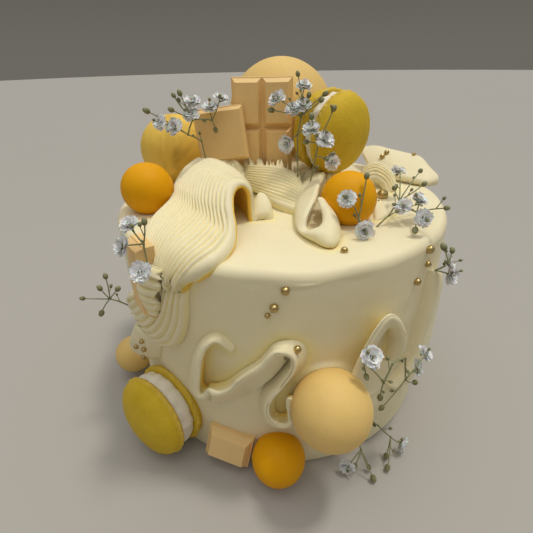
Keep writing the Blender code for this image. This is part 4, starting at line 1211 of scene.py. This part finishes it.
class CAKE_OT_chocolates(bpy.types.Operator):
    """Soften the edges of the moulded chocolate pieces and give them their finish"""

    bl_idname = "cake.chocolates"
    bl_label = "Chocolate Pieces"

    def execute(self, context):
        get = finishes()
        for name in CHOCOLATES:
            piece = frame["nodes"][name]
            piece.data.materials.clear()
            piece.data.materials.append(get("caramel_chocolate"))
            edge = piece.modifiers.new("edge", "BEVEL")
            edge.width = context.scene.cake_sizes.bevel
            edge.segments = 3
            edge.limit_method = "ANGLE"
            edge.angle_limit = math.radians(20)
        return {"FINISHED"}


class CAKE_OT_cream_heaps(bpy.types.Operator):
    """Make the heaps of piped cream under the toppings"""

    bl_idname = "cake.cream_heaps"
    bl_label = "Cream Heaps"

    def execute(self, context):
        for name, (centre, spread, height) in MOUNDS.items():
            dress("piped_" + name, name, "icing",
                  *heap_shape(centre, spread, height, 0.43 * len(name)))
        return {"FINISHED"}


class CAKE_OT_ribbons(bpy.types.Operator):
    """Make the combed and the smooth ribbons of buttercream"""

    bl_idname = "cake.ribbons"
    bl_label = "Buttercream Ribbons"

    def execute(self, context):
        unevenness = context.scene.cake_sizes.unevenness / MM
        for name, made in (*COMBED.items(), *SMOOTH.items()):
            settle(ribbon("soft_" + name, unevenness=unevenness, **made), name, "icing")
        return {"FINISHED"}


class CAKE_OT_gold_beads(bpy.types.Operator):
    """Make the gold sugar beads that lie on the icing"""

    bl_idname = "cake.gold_beads"
    bl_label = "Gold Beads"

    def execute(self, context):
        shape = Shape()
        for node, beads in BEADS.items():
            host = bpy.data.objects["cake_icing" if node == "iced_cake" else "soft_" + node]
            for place, size in beads:
                spot, normal = nearest_spot([host], place)
                radius = size * BEAD_SHARE
                points, faces = turned(ball_profile(radius, 16), 28)
                centre = spot + normal * radius * BEAD_LIFT
                shape.add([point + (point - centre).normalized() * 0.04 * wobble(point, 0.9)
                           for point in aimed(points, centre, normal)], faces)
        beads = shape.build("gold_beads", ["gold_bead"])
        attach(beads, "root")
        return {"FINISHED"}


class CAKE_OT_flower_sprigs(bpy.types.Operator):
    """Make the sprigs of small white flowers"""

    bl_idname = "cake.flower_sprigs"
    bl_label = "Flower Sprigs"

    def execute(self, context):
        chance = random.Random(11)
        prefixes = ("cake_icing", "soft_", "piped_cream")
        hosts = [piece for piece in bpy.data.objects if piece.name.startswith(prefixes)]
        for name, made in SPRIGS.items():
            shape = sprig_shape(hosts, sizes=context.scene.cake_sizes, chance=chance, **made)
            settle(shape.build("fresh_" + name, ["stem", "petal", "bud"], "root"), name,
                   "flower_sprig")
        return {"FINISHED"}


def studio_world():
    """A plain world, dim round its horizon and bright overhead."""
    world = bpy.data.worlds.new("studio")
    world.use_nodes = True
    made = Nodes(world.node_tree)
    place = made.node("ShaderNodeTexCoord", output="Generated")
    height = made.node("ShaderNodeSeparateXYZ", {}, {"Vector": place}, "Z")
    band = made.node("ShaderNodeValToRGB", {"stops": STUDIO_LIGHT}, {"Fac": height})
    made.put(made.tree.nodes["Background"].inputs["Color"], band)
    return world


def add_light(name, kind, power, colour, way, place=(0, 0, 0)):
    """Add a lamp that shines a given way, and return its light."""
    light = bpy.data.lights.new(name, kind)
    light.energy = power
    light.color = colour
    lamp = bpy.data.objects.new(name, light)
    lamp.location = place
    lamp.rotation_euler = Vector(way).to_track_quat("-Z", "Y").to_euler()
    bpy.context.scene.collection.objects.link(lamp)
    return light


class CAKE_OT_stage(bpy.types.Operator):
    """Make the floor, the lights and the camera"""

    bl_idname = "cake.stage"
    bl_label = "Stage"

    def execute(self, context):
        scene = context.scene
        shape = Shape()
        profile = [(0, -4), (FLOOR_RADIUS, -4), (FLOOR_RADIUS, -0.2)]
        profile += [(FLOOR_RADIUS * (1 - step / 20), -0.2) for step in range(1, 20)] + [(0, -0.2)]
        shape.add(*turned(profile, 64))
        floor = shape.build("floor", ["studio_floor"])
        floor.data.set_sharp_from_angle(angle=math.radians(40))

        scene.world = studio_world()
        scene.view_settings.view_transform = "Standard"
        sun = add_light("back_light", "SUN", SUN_POWER, (1.0, 0.96, 0.88), SUN_WAY)
        sun.angle = math.radians(SUN_SPREAD)
        lamp = add_light("overhead", "AREA", LAMP_POWER, (1.0, 0.97, 0.90),
                         Vector(LAMP_AIM) - Vector(LAMP_PLACE), LAMP_PLACE)
        lamp.size = LAMP_SIZE

        camera = bpy.data.cameras.new("camera")
        camera.sensor_width = SENSOR_WIDTH
        camera.lens = FOCAL_SHARE * SENSOR_WIDTH
        camera.clip_start = 0.01
        camera.clip_end = 50.0
        view = bpy.data.objects.new("camera", camera)
        view.matrix_world = (Matrix.Translation(CAMERA_PLACE)
                             @ Matrix.Rotation(math.radians(CAMERA_TURNS[0]), 4, "X")
                             @ Matrix.Rotation(math.radians(CAMERA_TURNS[1]), 4, "Z"))
        scene.collection.objects.link(view)
        scene.camera = view
        return {"FINISHED"}


OPERATORS = (CAKE_OT_iced_cake, CAKE_OT_chocolate_balls, CAKE_OT_macarons, CAKE_OT_chocolates,
             CAKE_OT_cream_heaps, CAKE_OT_ribbons, CAKE_OT_gold_beads, CAKE_OT_flower_sprigs,
             CAKE_OT_stage)


class CAKE_PT_pieces(bpy.types.Panel):
    """Pieces of the cake"""

    bl_idname = "CAKE_PT_pieces"
    bl_label = "Mango and Passion Fruit Cake"
    bl_space_type = "VIEW_3D"
    bl_region_type = "UI"
    bl_category = "Cake"

    def draw(self, context):
        layout = self.layout
        for group in (context.scene.cake_sizes, context.scene.cake_colours):
            for name in group.__annotations__:
                layout.prop(group, name)
        for operator in OPERATORS:
            layout.operator(operator.bl_idname)


CLASSES = (CakeColours, CakeSizes, *OPERATORS, CAKE_PT_pieces)


def register():
    """Add the classes and the scene's settings."""
    for item in CLASSES:
        bpy.utils.register_class(item)
    bpy.types.Scene.cake_colours = bpy.props.PointerProperty(type=CakeColours)
    bpy.types.Scene.cake_sizes = bpy.props.PointerProperty(type=CakeSizes)


def unregister():
    """Take the classes and the scene's settings away."""
    del bpy.types.Scene.cake_sizes
    del bpy.types.Scene.cake_colours
    for item in reversed(CLASSES):
        bpy.utils.unregister_class(item)


def main():
    """Make every piece in order."""
    register()
    for operator in OPERATORS:
        group, name = operator.bl_idname.split(".")
        getattr(getattr(bpy.ops, group), name)()


if __name__ == "__main__":
    main()
